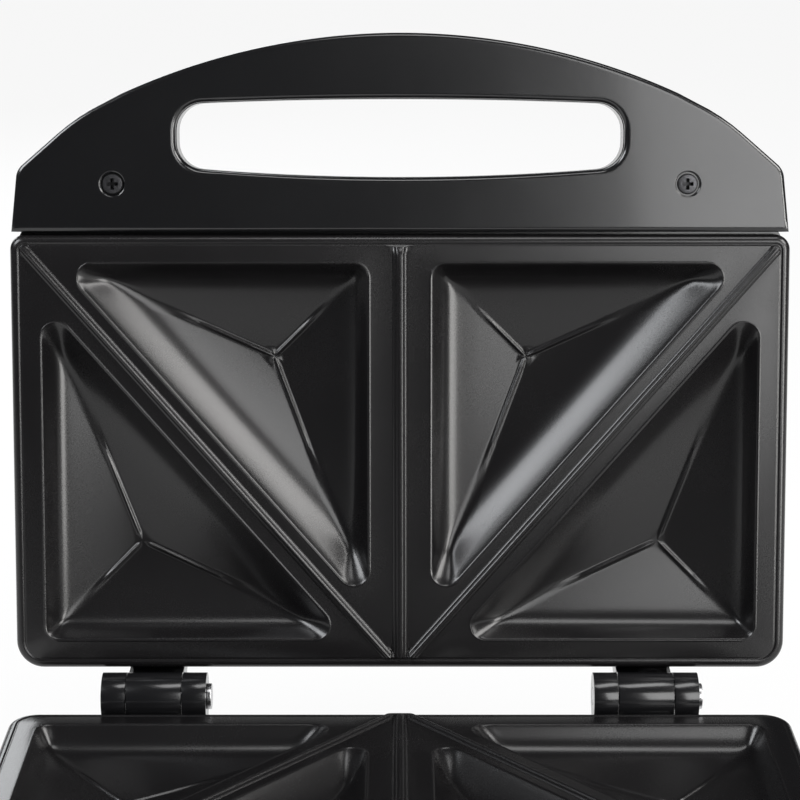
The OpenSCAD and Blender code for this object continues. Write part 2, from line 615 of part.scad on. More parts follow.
module cord_clamp() color("#d9d5c8") base_place() difference() {
    translate([gland_x - clamp_size[0] / 2, clamp_y, floor_z - clamp_size[2]]) cube(clamp_size);
    for (s = [-1, 1]) translate([gland_x + s * clamp_hole, clamp_y + clamp_size[1] / 2, 0])
        cylinder(h = half_h, r = screw_r, $fn = round_fn);
}
module cord_clamp_screws() color("#9fa2a6") base_place() for (s = [-1, 1])
    translate([gland_x + s * clamp_hole, clamp_y + clamp_size[1] / 2, floor_z - clamp_size[2]])
    screw(clamp_size[2] - play, 1);
foot_recess = 2;                              // depth of a foot's screw recess
module rubber_feet() color("#0e0e0f") base_place() for (s = [-1, 1]) for (p = foot_xy)
    translate([s * p[0], p[1], half_h]) difference() {
        cylinder(h = foot_h, r1 = foot_r, r2 = foot_r - 1, $fn = round_fn);
        translate([0, 0, foot_h - foot_recess])
            cylinder(h = foot_recess + 1, r = head_r + 0.4, $fn = round_fn);
        translate([0, 0, -1]) cylinder(h = foot_h + 2, r = screw_r, $fn = round_fn);
    }
module foot_screws() color("#9fa2a6") base_place() for (s = [-1, 1]) for (p = foot_xy)
    translate([s * p[0], p[1], half_h + foot_h - foot_recess]) mirror([0, 0, 1]) screw(foot_h + 2, 1.4);

// ---- lid ------------------------------------------------------------------------------------------------
lamp_x = 11;                                  // lamps on the lid, beside the middle
lamp_in = 22;                                 // and inside the plate's front edge
lamp_y = front_y + lamp_in;
lens_r = 4;
lens_flange = 1.2;
module lid_shell() color("#1a1a1c") lid_place() difference() {
    union() {
        shell();
        pair(hinge_x) lid_lug();
    }
    hinge_bore(pin_r + pin_clear);
    pair(lamp_x) translate([0, lamp_y, half_h - wall - 2]) cylinder(h = wall + 5, r = lens_r, $fn = round_fn);
}
module lid_handle_cover() color("#141416") lid_place() handle_cover() { }
module lid_cooking_plate() color("#222224") lid_place() cooking_plate();
module lid_cover_screws() color("#2a2a2c") lid_place() cover_screws();
module lid_heating_element() color("#5d5f63") lid_place() heating_element();
module lid_element_clamps() color("#b4b7bb") lid_place() element_clamps();
module lid_clamp_screws() color("#9fa2a6") lid_place() clamp_screws();
module lid_heat_shield() color("#c3c6ca") lid_place() heat_shield();
module lid_shield_screws() color("#9fa2a6") lid_place() shield_screws();
module lens() {
    translate([0, lamp_y, floor_z - lens_flange]) {
        cylinder(h = wall + 2, r = lens_r, $fn = round_fn);
        cylinder(h = lens_flange, r = lens_r + 1, $fn = round_fn);
    }
}
module power_lens() color("#a01212") lid_place() translate([-lamp_x, 0, 0]) lens();
module ready_lens() color("#1f7a2c") lid_place() translate([lamp_x, 0, 0]) lens();
neon_r = 2.4;
holder_t = 4;
holder_edge = 7;                              // holder's edge around the lamps' places
holder_z = floor_z - lens_flange - holder_t;
module lamp_holder() color("#e8e4d8") lid_place() difference() {
    translate([-lamp_x - holder_edge, lamp_y - holder_edge + 1, holder_z])
        cube([2 * (lamp_x + holder_edge), 2 * holder_edge - 2, holder_t]);
    pair(lamp_x) translate([0, lamp_y, holder_z - 1]) cylinder(h = holder_t + 2, r = neon_r, $fn = round_fn);
}
neon_l = 6.8;
module neon_lamps() color("#e8c9a8") lid_place() pair(lamp_x)
    translate([0, lamp_y, floor_z - lens_flange - 0.2 - neon_l])
    cylinder(h = neon_l, r = neon_r, $fn = round_fn);
thermo_y = window_y + window[1] / 2;
thermo_r = 6.2;
thermo_h = 8;
bracket = [13, 30, 1];                        // thermostat's bracket on the plate's back
bracket_screw = 16;                           // its screw behind the thermostat
module thermostat_bracket() color("#b4b7bb") lid_place() difference() {
    translate([-bracket[0] / 2, thermo_y - 9, back_z]) cube(bracket);
    translate([0, thermo_y + bracket_screw, back_z - 1])
        cylinder(h = bracket[2] + 2, r = screw_r + 0.2, $fn = round_fn);
}
module thermostat() color("#3a2a22") lid_place() translate([0, thermo_y, back_z + bracket[2]]) {
    cylinder(h = thermo_h, r = thermo_r, $fn = round_fn);
    for (s = [-1, 1]) translate([s * 3.4 - 0.4, -2, thermo_h - 0.1]) cube([0.8, 4, 5]);
}
module thermostat_screw() color("#9fa2a6") lid_place()
    translate([0, thermo_y + bracket_screw, back_z + bracket[2]])
    cylinder(h = screw_head_t, r = head_r, $fn = round_fn);
fuse_r = 2;
fuse_l = 14;
lead_r = 0.6;
lead_l = 32;
fuse_x = lamp_x + holder_edge + lead_l / 2 + 6; // fuse beside the lamps
fuse_z = shield_z + shield_t;                 // its clip stands on the heat shield
fuse_rise = 2.6;
clip = [2, 6, 5];
clip_gap = 4;
module thermal_fuse() color("#cfd2d5") lid_place() translate([fuse_x, lamp_y, fuse_z + fuse_rise]) {
    rod(-fuse_l / 2, fuse_l / 2, fuse_r);
    rod(-lead_l / 2, lead_l / 2, lead_r);
}
module fuse_clip() color("#b4b7bb") lid_place() translate([fuse_x, lamp_y, fuse_z])
    for (x = [-clip_gap / 2 - clip[0], clip_gap / 2]) difference() {
        translate([x, -clip[1] / 2, 0]) cube(clip);
        translate([x - 1, 0, fuse_rise]) rod(0, clip[0] + 2, fuse_r);
        translate([x - 1, -fuse_r / 2, fuse_rise]) cube([clip[0] + 2, fuse_r, clip[2]]);
    }

base_shell();
base_handle_cover();
base_cooking_plate();
base_cover_screws();
base_heating_element();
base_element_clamps();
base_clamp_screws();
base_heat_shield();
base_shield_screws();
base_terminal_block();
base_terminal_screw();
cord_inlet_gland();
cord_clamp();
cord_clamp_screws();
rubber_feet();
foot_screws();
hinge_pins();
latch();
latch_pin();
lid_shell();
lid_handle_cover();
lid_cooking_plate();
lid_cover_screws();
lid_heating_element();
lid_element_clamps();
lid_clamp_screws();
lid_heat_shield();
lid_shield_screws();
thermostat();
thermostat_bracket();
thermostat_screw();
thermal_fuse();
fuse_clip();
lamp_holder();
neon_lamps();
power_lens();
ready_lens();
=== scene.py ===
"""Dresses the sandwich toaster: its cast plates, casings, handle covers, fasteners and lamps, and a white studio."""

import bisect
import contextlib
import json
import math

import bmesh
import bpy
import numpy as np
from mathutils import Matrix, Vector
from mathutils.geometry import delaunay_2d_cdt


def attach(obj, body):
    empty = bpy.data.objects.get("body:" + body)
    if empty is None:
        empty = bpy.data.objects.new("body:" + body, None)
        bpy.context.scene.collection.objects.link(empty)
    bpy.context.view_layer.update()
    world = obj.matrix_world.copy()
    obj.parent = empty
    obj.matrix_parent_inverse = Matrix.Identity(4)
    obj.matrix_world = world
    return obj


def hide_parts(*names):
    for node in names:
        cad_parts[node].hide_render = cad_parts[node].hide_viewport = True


bl_info = {
    "name": "Sandwich Toaster Dressing",
    "version": (1, 0, 0),
    "blender": (4, 5, 0),
    "location": "3D View > Sidebar > Toaster",
    "description": "Builds the looks of a two-slice sandwich toaster around its frame",
    "category": "Object",
}

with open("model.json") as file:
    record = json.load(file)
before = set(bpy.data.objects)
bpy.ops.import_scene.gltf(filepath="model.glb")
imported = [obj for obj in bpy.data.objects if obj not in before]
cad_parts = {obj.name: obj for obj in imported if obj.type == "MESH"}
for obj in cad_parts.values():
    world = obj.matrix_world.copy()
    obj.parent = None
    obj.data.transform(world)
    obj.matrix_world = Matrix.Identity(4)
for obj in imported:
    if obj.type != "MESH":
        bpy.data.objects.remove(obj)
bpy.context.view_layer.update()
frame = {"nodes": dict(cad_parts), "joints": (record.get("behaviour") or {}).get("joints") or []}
MM = 0.001
LID_JOINT = next(joint for joint in frame["joints"] if joint["name"] == "lid_hinge")
HINGE_Y = LID_JOINT["pos_m"][1] / MM
AXIS_Z = LID_JOINT["pos_m"][2] / MM
LID_OPEN = -LID_JOINT["range_deg"][0]
HALVES = ("lid", "base")


# ---- sizes and colours a user would change -------------------------------------------------------
def millimetres(name, text, default):
    return bpy.props.FloatProperty(name=name, description=text, default=default)


def tint(name, text, default):
    return bpy.props.FloatVectorProperty(name=name, description=text, default=default, size=3, subtype="COLOR")


class ToasterSizes(bpy.types.PropertyGroup):
    """Sizes of the toaster in millimetres, as the frame has them"""

    body_w: millimetres("Body width", "Width of the plates and casings", 226.0)
    plate_d: millimetres("Plate depth", "Depth of a cooking plate", 127.5)
    half_h: millimetres("Half height", "Height of one casing above the parting plane", 41.0)
    setback: millimetres("Hinge setback", "From the hinge axis to the rear wall", 8.0)
    land: millimetres("Land", "Land of a plate behind the parting plane", 1.6)
    skirt: millimetres("Skirt", "Depth of the skirt around a plate", 7.0)
    pocket_depth: millimetres("Pocket depth", "Deepest point of a pocket under the land", 12.0)
    pocket_r: millimetres("Pocket corner", "Corner radius at a pocket's rim", 4.4)
    rib_height: millimetres("Rib height", "Height of a sealing rib over the land", 1.2)
    wall: millimetres("Wall", "Wall of the casings", 2.4)
    corner_r: millimetres("Corner radius", "Rear corners seen from above", 8.0)
    handle_reach: millimetres("Handle reach", "Reach of the handle in front of the plate", 58.0)
    handle_r: millimetres("Handle curve", "Radius of the handle's front curve", 195.0)
    handle_h: millimetres("Handle height", "Height of one half of the handle", 18.0)
    gap_w: millimetres("Finger gap width", "Width of the finger gap", 129.0)
    gap_strip: millimetres("Strip", "Strip between plate and finger gap", 16.5)
    gap_d: millimetres("Finger gap depth", "Depth of the finger gap", 22.5)
    gap_r: millimetres("Finger gap corner", "Corner radius of the finger gap", 7.8)
    screw_x: millimetres("Screw place", "Distance of a cover screw from the middle", 83.0)
    screw_f: millimetres("Screw reach", "Distance of a cover screw in front of the plate", 14.6)


class ToasterFinish(bpy.types.PropertyGroup):
    """Colours of the toaster's finishes"""

    coating: tint("Coating", "Non-stick coating of the plates", (0.0046, 0.0043, 0.0046))
    casing: tint("Casing", "Gloss plastic of casings and handle", (0.005, 0.005, 0.0055))
    steel: tint("Steel", "Zinc-plated sheet and screws", (0.60, 0.60, 0.62))
    power: tint("Power lamp", "Lens of the power lamp", (0.45, 0.010, 0.010))
    ready: tint("Ready lamp", "Lens of the ready lamp", (0.010, 0.28, 0.060))


def sizes():
    return bpy.context.scene.toaster_sizes


def finish():
    return bpy.context.scene.toaster_finish


# ---- shader maths as expressions -----------------------------------------------------------------
class Wire:
    """A node socket whose arithmetic adds Math nodes"""

    def __init__(self, shader, socket):
        self.shader = shader
        self.socket = socket

    def _math(self, operation, left, right):
        return self.shader.node("ShaderNodeMath", {"operation": operation}, {0: left, 1: right})

    def __add__(self, other):
        return self._math("ADD", self, other)

    __radd__ = __add__

    def __mul__(self, other):
        return self._math("MULTIPLY", self, other)

    __rmul__ = __mul__

    def __sub__(self, other):
        return self._math("SUBTRACT", self, other)

    def __rsub__(self, other):
        return self._math("SUBTRACT", other, self)

    def most(self, other):
        return self._math("MAXIMUM", self, other)


class Tree:
    """A node tree whose nodes all come from node()"""

    def __init__(self, tree):
        self.nodes = tree.nodes
        self.links = tree.links

    def feed(self, node, inputs):
        for key, value in inputs.items():
            socket = node.inputs[key] if not isinstance(key, str) else next(
                s for s in node.inputs if s.name.lower() == key.lower() and s.enabled)
            if isinstance(value, Wire):
                self.links.new(value.socket, socket)
            elif hasattr(socket.default_value, "__len__") and len(value) == 3 and len(socket.default_value) == 4:
                socket.default_value = (*value, 1.0)
            else:
                socket.default_value = value

    def node(self, kind, settings, inputs, output=0):
        made = self.nodes.new(kind)
        for key, value in settings.items():
            if key == "stops":
                ramp = made.color_ramp.elements
                while len(ramp) < len(value):
                    ramp.new(0.5)
                for element, (position, shade) in zip(ramp, value):
                    element.position = position
                    element.color = (shade, shade, shade, 1.0)
            else:
                setattr(made, key, value)
        self.feed(made, inputs)
        return Wire(self, made.outputs[output])


class Shader(Tree):
    """One material with its Principled node"""

    def __init__(self, name, **constants):
        self.material = bpy.data.materials.new(name)
        self.material.use_nodes = True
        super().__init__(self.material.node_tree)
        self.surface = self.nodes["Principled BSDF"]
        self.feed(self.surface, {key.replace("_", " ").title(): value for key, value in constants.items()})
        self.place = self.node("ShaderNodeTexCoord", {}, {}, "Object")

    def noise(self, scale, detail=3.0, roughness=0.5):
        return self.node("ShaderNodeTexNoise", {}, {"Vector": self.place, "Scale": scale, "Detail": detail,
                                                    "Roughness": roughness})

    def ramp(self, value, *stops):
        return self.node("ShaderNodeValToRGB", {"stops": stops}, {"Fac": value})

    def edge(self, low=0.5, high=0.62):
        """1 on convex edges, 0 on flats and in hollows"""
        point = self.node("ShaderNodeNewGeometry", {}, {}, "Pointiness")
        return self.ramp(point, (low, 0.0), (high, 1.0))

    def blend(self, factor, first, second):
        return self.node("ShaderNodeMix", {"data_type": "RGBA"}, {0: factor, 6: first, 7: second}, 2)

    def bump(self, height, strength, distance):
        normal = self.node("ShaderNodeBump", {}, {"Height": height, "Strength": strength, "Distance": distance})
        self.feed(self.surface, {"Normal": normal})
        return normal


def lighter(colour, factor):
    return tuple(min(1.0, channel * factor) for channel in colour)


MADE = {}


def material(kind):
    """The material of that kind, made once"""
    if kind not in MADE:
        MADE[kind] = MATERIALS[kind]()
    return MADE[kind]


def nonstick():
    """Semi-gloss coating: fine grit in the gloss, paler edges as a painted highlight, faint cloudiness from wiping"""
    mat = Shader("nonstick_coating", specular_ior_level=0.4, coat_ior=1.5)
    cloud = mat.noise(34.0, 4.0)
    grit = mat.noise(2600.0, 2.0, 0.6)
    # painted highlight: convex edges are lightened in cloudy patches to stand in for lamp light catching them
    painted_edge_highlight = mat.edge(0.505, 0.60) * mat.ramp(cloud, (0.35, 0.35), (0.7, 1.0))
    base = finish().coating
    mat.feed(mat.surface, {
        "Base Color": mat.blend(painted_edge_highlight, mat.blend(cloud, base, lighter(base, 1.35)), lighter(base, 3.2)),
        "Roughness": cloud * 0.06 + grit * 0.05 + 0.21,
        "Coat Weight": 0.15,
        "Coat Roughness": 0.14,
    })
    mat.bump(grit, 0.10, 0.00012)
    return mat.material


def gloss_plastic():
    """Gloss phenolic: slight orange peel, thin swirl of polish, dust-fine roughness changes"""
    mat = Shader("gloss_plastic", specular_ior_level=0.5)
    peel = mat.noise(420.0, 2.0)
    smear = mat.noise(22.0, 5.0, 0.6)
    base = finish().casing
    mat.feed(mat.surface, {
        "Base Color": mat.blend(mat.edge(0.51, 0.66), base, lighter(base, 2.4)),
        "Roughness": smear * 0.10 + 0.17,
        "Coat Weight": 0.35,
        "Coat Roughness": 0.08,
    })
    mat.bump(peel, 0.05, 0.0002)
    return mat.material


def rubber():
    mat = Shader("soft_rubber", base_color=(0.018, 0.018, 0.018))
    grain = mat.noise(900.0, 3.0)
    mat.feed(mat.surface, {"Roughness": grain * 0.15 + 0.62})
    mat.bump(grain, 0.25, 0.0002)
    return mat.material


def metal(name, colour, rough, grain_scale=700.0):
    mat = Shader(name, metallic=1.0)
    grain = mat.noise(grain_scale, 2.0)
    stain = mat.noise(60.0, 4.0)
    mat.feed(mat.surface, {
        "Base Color": mat.blend(stain, colour, lighter(colour, 0.72)),
        "Roughness": grain * 0.12 + stain * 0.08 + rough,
    })
    mat.bump(grain, 0.08, 0.0001)
    return mat.material


def black_steel():
    """Blackened screw heads, worn bright on their edges"""
    mat = Shader("blackened_steel", metallic=0.85)
    worn = mat.edge(0.52, 0.66)
    grain = mat.noise(800.0, 3.0)
    mat.feed(mat.surface, {
        "Base Color": mat.blend(worn, (0.045, 0.045, 0.047), (0.12, 0.12, 0.13)),
        "Roughness": grain * 0.15 + 0.28,
    })
    return mat.material


def plain(name, colour, rough, grain_scale=500.0):
    mat = Shader(name)
    grain = mat.noise(grain_scale, 3.0)
    mat.feed(mat.surface, {
        "Base Color": mat.blend(grain, colour, lighter(colour, 0.8)),
        "Roughness": grain * 0.12 + rough,
    })
    mat.bump(grain, 0.12, 0.00015)
    return mat.material


def lens_plastic(name, colour):
    mat = Shader(name, transmission_weight=0.25, ior=1.49)
    dust = mat.noise(120.0, 4.0)
    mat.feed(mat.surface, {"Base Color": mat.blend(dust, colour, lighter(colour, 0.75)),
                           "Roughness": dust * 0.1 + 0.08})
    return mat.material


MATERIALS = {
    "nonstick": nonstick,
    "casing": gloss_plastic,
    "rubber": rubber,
    "black_steel": black_steel,
    "steel": lambda: metal("zinc_plate", finish().steel, 0.26),
    "pin": lambda: metal("turned_steel", (0.58, 0.58, 0.59), 0.18, 1400.0),
    "element": lambda: metal("heat_tinted_tube", (0.25, 0.22, 0.19), 0.34),
    "shield": lambda: metal("aluminised_sheet", (0.74, 0.74, 0.75), 0.22, 300.0),
    "ceramic": lambda: plain("steatite", (0.80, 0.77, 0.70), 0.5),
    "fibre": lambda: plain("moulded_fibre", (0.68, 0.65, 0.58), 0.55),
    "brown": lambda: plain("brown_phenolic", (0.10, 0.05, 0.03), 0.35),
    "neon": lambda: lens_plastic("neon_glass", (0.95, 0.72, 0.55)),
    "power": lambda: lens_plastic("red_lens", finish().power),
    "ready": lambda: lens_plastic("green_lens", finish().ready),
}


# ---- places --------------------------------------------------------------------------------------
def placed(half, point):
    """A point of a half's own frame, in millimetres from the hinge axis, as a place in the row frame in metres"""
    x, y, z = point
    if half == "base":
        return Vector((x, y + HINGE_Y, AXIS_Z - z)) * MM
    turn = math.radians(-LID_OPEN)
    return Vector((x, y * math.cos(turn) - z * math.sin(turn) + HINGE_Y,
                   y * math.sin(turn) + z * math.cos(turn) + AXIS_Z)) * MM


def rear_y():
    return -sizes().setback


def front_y():
    return rear_y() - sizes().plate_d


def tip_y():
    return front_y() - sizes().handle_reach


def half_w():
    return sizes().body_w / 2


# ---- outlines, as lists of 2-D points ------------------------------------------------------------
def corner_arc(before, at, after, radius, count=8):
    """Points of the arc that rounds the corner at `at`"""
    at = Vector(at)
    u = (Vector(before) - at).normalized()
    v = (Vector(after) - at).normalized()
    half = math.acos(max(-1.0, min(1.0, u.dot(v)))) / 2
    middle = at + (u + v).normalized() * radius / math.sin(half)
    start = at + u * radius / math.tan(half) - middle
    end = at + v * radius / math.tan(half) - middle
    from_angle = math.atan2(start.y, start.x)
    turn = (math.atan2(end.y, end.x) - from_angle + math.pi) % (2 * math.pi) - math.pi
    angles = [from_angle + turn * i / count for i in range(count + 1)]
    return [middle + radius * Vector((math.cos(angle), math.sin(angle))) for angle in angles]


def rounded(points, radii, count=8):
    total = len(points)
    path = []
    for i in range(total):
        path += corner_arc(points[i - 1], points[i], points[(i + 1) % total], radii[i], count)
    return path


def box_path(x0, y0, x1, y1, front_r, rear_r, count=8):
    return rounded([(x0, y0), (x1, y0), (x1, y1), (x0, y1)], [front_r, front_r, rear_r, rear_r], count)


POINT_STEP = 3.0


def divided(path, step=POINT_STEP):
    """The closed path with points at most `step` apart"""
    out = []
    for a, b in zip(path, path[1:] + path[:1]):
        a = Vector(a)
        b = Vector(b)
        parts = max(1, math.ceil((b - a).length / step))
        out += [a + (b - a) * i / parts for i in range(parts)]
    return out


FRONT_R = 4.4
# The handle's shoulder: its rounding, lean, straight run, drop behind the arc, and the arc's end
SHOULDER_R, SHOULDER_X, SHOULDER_RUN, SHOULDER_DROP = 6.0, 2.2, 18.0, 4.6
ARC_END, BROW_R, BROW_POINTS = 80.0, 60.0, 4
FLANK_IN = 0.35


def handle_path(inset, back, count=8):
    """The half's handle outline, drawn in by `inset` and closed along y = back"""
    radius = sizes().handle_r - inset
    centre = tip_y() + sizes().handle_r
    side = half_w() - inset

    def on_arc(x):
        return Vector((x, centre - math.sqrt(radius * radius - x * x)))

    flank = side - SHOULDER_X
    right = [on_arc(x) for x in np.linspace(0.0, ARC_END, 3 * count).tolist()]
    root = side - FLANK_IN
    brow = on_arc(flank - SHOULDER_RUN)
    knee = on_arc(flank) + Vector((0.0, SHOULDER_DROP))
    right += corner_arc(on_arc(brow.x - SHOULDER_RUN), brow, knee, BROW_R - inset, BROW_POINTS)
    right += corner_arc(brow, knee, (root, front_y()), SHOULDER_R - inset, count)
    left = [Vector((-p.x, p.y)) for p in reversed(right[1:])]
    return right + [Vector((root, back)), Vector((-root, back))] + left


GAP_BACK_BOW, GAP_FRONT_BOW = 2.9, 1.5
GAP_STRAIGHT = 0.8


def gap_path(grow, count=8):
    """The finger gap's outline, grown by `grow`"""
    s = sizes()
    wide = s.gap_w / 2 + grow
    back = front_y() - s.gap_strip + grow
    fore = front_y() - s.gap_strip - s.gap_d - grow
    radius = s.gap_r + grow
    steps = np.linspace(-GAP_STRAIGHT, GAP_STRAIGHT, 2 * count + 1).tolist()
    near = [Vector((wide * t, back - GAP_BACK_BOW * t * t)) for t in steps]
    far = [Vector((-wide * t, fore + GAP_FRONT_BOW * t * t)) for t in steps]
    middle = (back + fore) / 2
    return (corner_arc((-wide, middle), (-wide, back - GAP_BACK_BOW), near[0], radius, count) + near
            + corner_arc(near[-1], (wide, back - GAP_BACK_BOW), (wide, middle), radius, count)
            + corner_arc((wide, middle), (wide, fore + GAP_FRONT_BOW), far[0], radius, count) + far
            + corner_arc(far[-1], (-wide, fore + GAP_FRONT_BOW), (-wide, middle), radius, count))


# ---- meshes --------------------------------------------------------------------------------------
def linked(name, data):
    """A new object in the scene's collection"""
    made = bpy.data.objects.new(name, data)
    bpy.context.scene.collection.objects.link(made)
    return made


@contextlib.contextmanager
def edited(mesh):
    """The mesh opened for editing, and written back when the block ends"""
    bm = bmesh.new()
    bm.from_mesh(mesh)
    yield bm
    bm.to_mesh(mesh)
    bm.free()


def evaluated(work, *tools):
    """The mesh of an object after its modifiers; the object and its tools are taken away"""
    bpy.context.view_layer.update()
    result = bpy.data.meshes.new_from_object(work.evaluated_get(bpy.context.evaluated_depsgraph_get()))
    for item in (work, *tools):
        bpy.data.objects.remove(item)
    return result


def band_faces(count, rings=2):
    """The faces between closed rings of `count` points each"""
    return [(j * count + i, j * count + (i + 1) % count, (j + 1) * count + (i + 1) % count, (j + 1) * count + i)
            for j in range(rings - 1) for i in range(count)]


def add_piece(name, mesh, half, kind, nodes, sharp=35.0):
    """Makes a piece of a mesh in the row frame, and gives it its finish and body"""
    for polygon in mesh.polygons:
        polygon.use_smooth = True
    piece = linked(name, mesh)
    mesh.set_sharp_from_angle(angle=math.radians(sharp))
    mesh.materials.clear()
    mesh.materials.append(material(kind))
    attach(piece, half)
    if nodes:
        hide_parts(*nodes)
    return piece


FINE_WELD, WELD, SEAM_WELD = 1e-7, 1e-6, 2e-6
FLAT_ANGLE = math.radians(0.4)


def mesh_of(name, points, faces):
    """A closed mesh of points and faces, its faces turned outwards"""
    mesh = bpy.data.meshes.new(name)
    mesh.from_pydata([tuple(p) for p in points], [], faces)
    with edited(mesh) as bm:
        bmesh.ops.remove_doubles(bm, verts=bm.verts, dist=FINE_WELD)
        bmesh.ops.recalc_face_normals(bm, faces=bm.faces)
    return mesh


def lofted(rings, half, name="loft"):
    """A closed solid through rings [z, points] of equal length, in the row frame"""
    count = len(rings[0][1])
    points = [placed(half, (p[0], p[1], z)) for z, path in rings for p in path]
    faces = band_faces(count, len(rings))
    faces += [tuple(range(count)), tuple((len(rings) - 1) * count + i for i in range(count))]
    return mesh_of(name, points, faces)


def combined(mesh, others, operation):
    """The mesh after a boolean with each of the others"""
    work = linked("work", mesh)
    tools = [linked("tool", other) for other in others]
    for tool in tools:
        change = work.modifiers.new("cut", "BOOLEAN")
        change.operation = operation
        change.solver = "EXACT"
        change.object = tool
    return evaluated(work, *tools)


def rod(half, start, end, radius, sides=40):
    """A closed cylinder between two points of a half's frame"""
    a, b = placed(half, start), placed(half, end)
    mesh = bpy.data.meshes.new("rod")
    with edited(mesh) as bm:
        bmesh.ops.create_cone(bm, cap_ends=True, segments=sides, radius1=radius * MM, radius2=radius * MM,
                              depth=(b - a).length)
        turn = (b - a).to_track_quat("Z", "Y").to_matrix().to_4x4()
        bm.transform(Matrix.Translation((a + b) / 2) @ turn)
    return mesh


def prism(half, path, z0, z1):
    return lofted([(z0, path), (z1, path)], half, "prism")


def block(half, low, high):
    (x0, y0, z0), (x1, y1, z1) = low, high
    return prism(half, [(x0, y0), (x1, y0), (x1, y1), (x0, y1)], z0, z1)


def thickened(mesh, thickness):
    """Gives an open skin a wall on its inner side"""
    work = linked("work", mesh)
    wall = work.modifiers.new("wall", "SOLIDIFY")
    wall.thickness = thickness * MM
    wall.offset = -1.0
    return evaluated(work)


OUTLINE_REACH = 1e-4


def inside(points, loop):
    """Which of the points lie inside the closed loop, as an array of truth values"""
    x, y = points[:, 0], points[:, 1]
    hit = np.zeros(len(points), bool)
    corners = [tuple(p) for p in loop]
    for (x1, y1), (x2, y2) in zip(corners, corners[1:] + corners[:1]):
        if y1 != y2:
            crosses = (y1 > y) != (y2 > y)
            hit ^= crosses & (x < (x2 - x1) * (y - y1) / (y2 - y1) + x1)
    return hit


def relief(half, outer, holes, lines, height):
    """A skin over the region between `outer` and `holes`, with edges along `lines`, lifted by height(x, y)"""
    points, edges = [], []
    for loop in [outer] + holes + [line for line, closed in lines if closed]:
        start = len(points)
        points += [Vector(p[:2]) for p in loop]
        edges += [(start + i, start + (i + 1) % len(loop)) for i in range(len(loop))]
    for line in [line for line, closed in lines if not closed]:
        start = len(points)
        points += [Vector(p[:2]) for p in line]
        edges += [(start + i, start + i + 1) for i in range(len(line) - 1)]
    found, _, triangles, _, _, _ = delaunay_2d_cdt(points, edges, [], 0, OUTLINE_REACH)
    flat = np.array([tuple(p) for p in found])
    centres = flat[np.array(triangles)].mean(axis=1)
    keep = inside(centres, outer)
    for hole in holes:
        keep &= ~inside(centres, hole)
    z = height(flat[:, 0], flat[:, 1])
    faces = [triangle for triangle, kept in zip(triangles, keep) if kept]
    used = sorted({i for face in faces for i in face})
    number = {old: new for new, old in enumerate(used)}
    return ([(flat[i, 0], flat[i, 1], z[i]) for i in used], [tuple(number[i] for i in face) for face in faces])


def stitched(half, patches, name):
    """One mesh of several (points, faces) patches in a half's frame, welded, facing the parting plane"""
    points, faces = [], []
    for patch_points, patch_faces in patches:
        start = len(points)
        points += [placed(half, p) for p in patch_points]
        faces += [tuple(start + i for i in face) for face in patch_faces]
    mesh = bpy.data.meshes.new(name)
    mesh.from_pydata([tuple(p) for p in points], [], faces)
    outward = placed(half, (0, 0, -1)) - placed(half, (0, 0, 0))
    with edited(mesh) as bm:
        bmesh.ops.remove_doubles(bm, verts=bm.verts, dist=SEAM_WELD)
        bmesh.ops.recalc_face_normals(bm, faces=bm.faces)
        if sum(face.normal.dot(outward) * face.calc_area() for face in bm.faces) < 0:
            bmesh.ops.reverse_faces(bm, faces=bm.faces)
    return mesh


def wall_strip(path, z0, z1):
    """A strip of wall under a closed path, from z0 to z1"""
    return [(p[0], p[1], z) for z in (z0, z1) for p in path], band_faces(len(path))


# ---- the cooking plates --------------------------------------------------------------------------
POCKET_MID, POCKET_FRONT, POCKET_SIDE, POCKET_REAR = 9.2, 8.3, 8.8, 8.6
STRIP_UPPER, STRIP_LOWER = 4.9, 5.8
RIM_R = 2.2
PLATE_WALL = 1.6
CREASE_REACH, CREASE_FADE, CREASE_HEIGHT, CREASE_WIDTH = 0.62, 0.55, 0.75, 0.55
# The diagonal rib's ends: in from the plate's front corner, from the middle and from the rear edge
DIAGONAL_CORNER, DIAGONAL_MIDDLE, DIAGONAL_REAR = 3.7, 1.5, 1.4


def diagonal():
    """The right diagonal rib: its two ends"""
    front = Vector((half_w() - DIAGONAL_CORNER, front_y() + DIAGONAL_CORNER))
    return front, Vector((DIAGONAL_MIDDLE, rear_y() - DIAGONAL_REAR))


def pocket_triangles():
    """The sharp triangles of the right half's two pockets, right-angled corner first"""
    a, b = diagonal()
    u = (b - a).normalized()
    n = Vector((-u.y, u.x)) * (1 if -u.y > 0 else -1)

    def at_y(y, d):
        p = a + n * d
        return Vector((p.x + (y - p.y) * u.x / u.y, y))

    def at_x(x, d):
        p = a + n * d
        return Vector((x, p.y + (x - p.x) * u.y / u.x))

    x, y = POCKET_MID, front_y() + POCKET_FRONT
    upper = [Vector((x, y)), at_y(y, -STRIP_UPPER), at_x(x, -STRIP_UPPER)]
    x, y = half_w() - POCKET_SIDE, rear_y() - POCKET_REAR
    lower = [Vector((x, y)), at_y(y, STRIP_LOWER), at_x(x, STRIP_LOWER)]
    return [upper, lower]


def incentre(t):
    weights = [(t[1] - t[2]).length, (t[2] - t[0]).length, (t[0] - t[1]).length]
    return sum((p * w for p, w in zip(t, weights)), Vector((0, 0))) / sum(weights)


def inradius(t):
    u, v = t[1] - t[0], t[2] - t[0]
    return abs(u.x * v.y - u.y * v.x) / ((t[1] - t[2]).length + (t[2] - t[0]).length + (t[0] - t[1]).length)


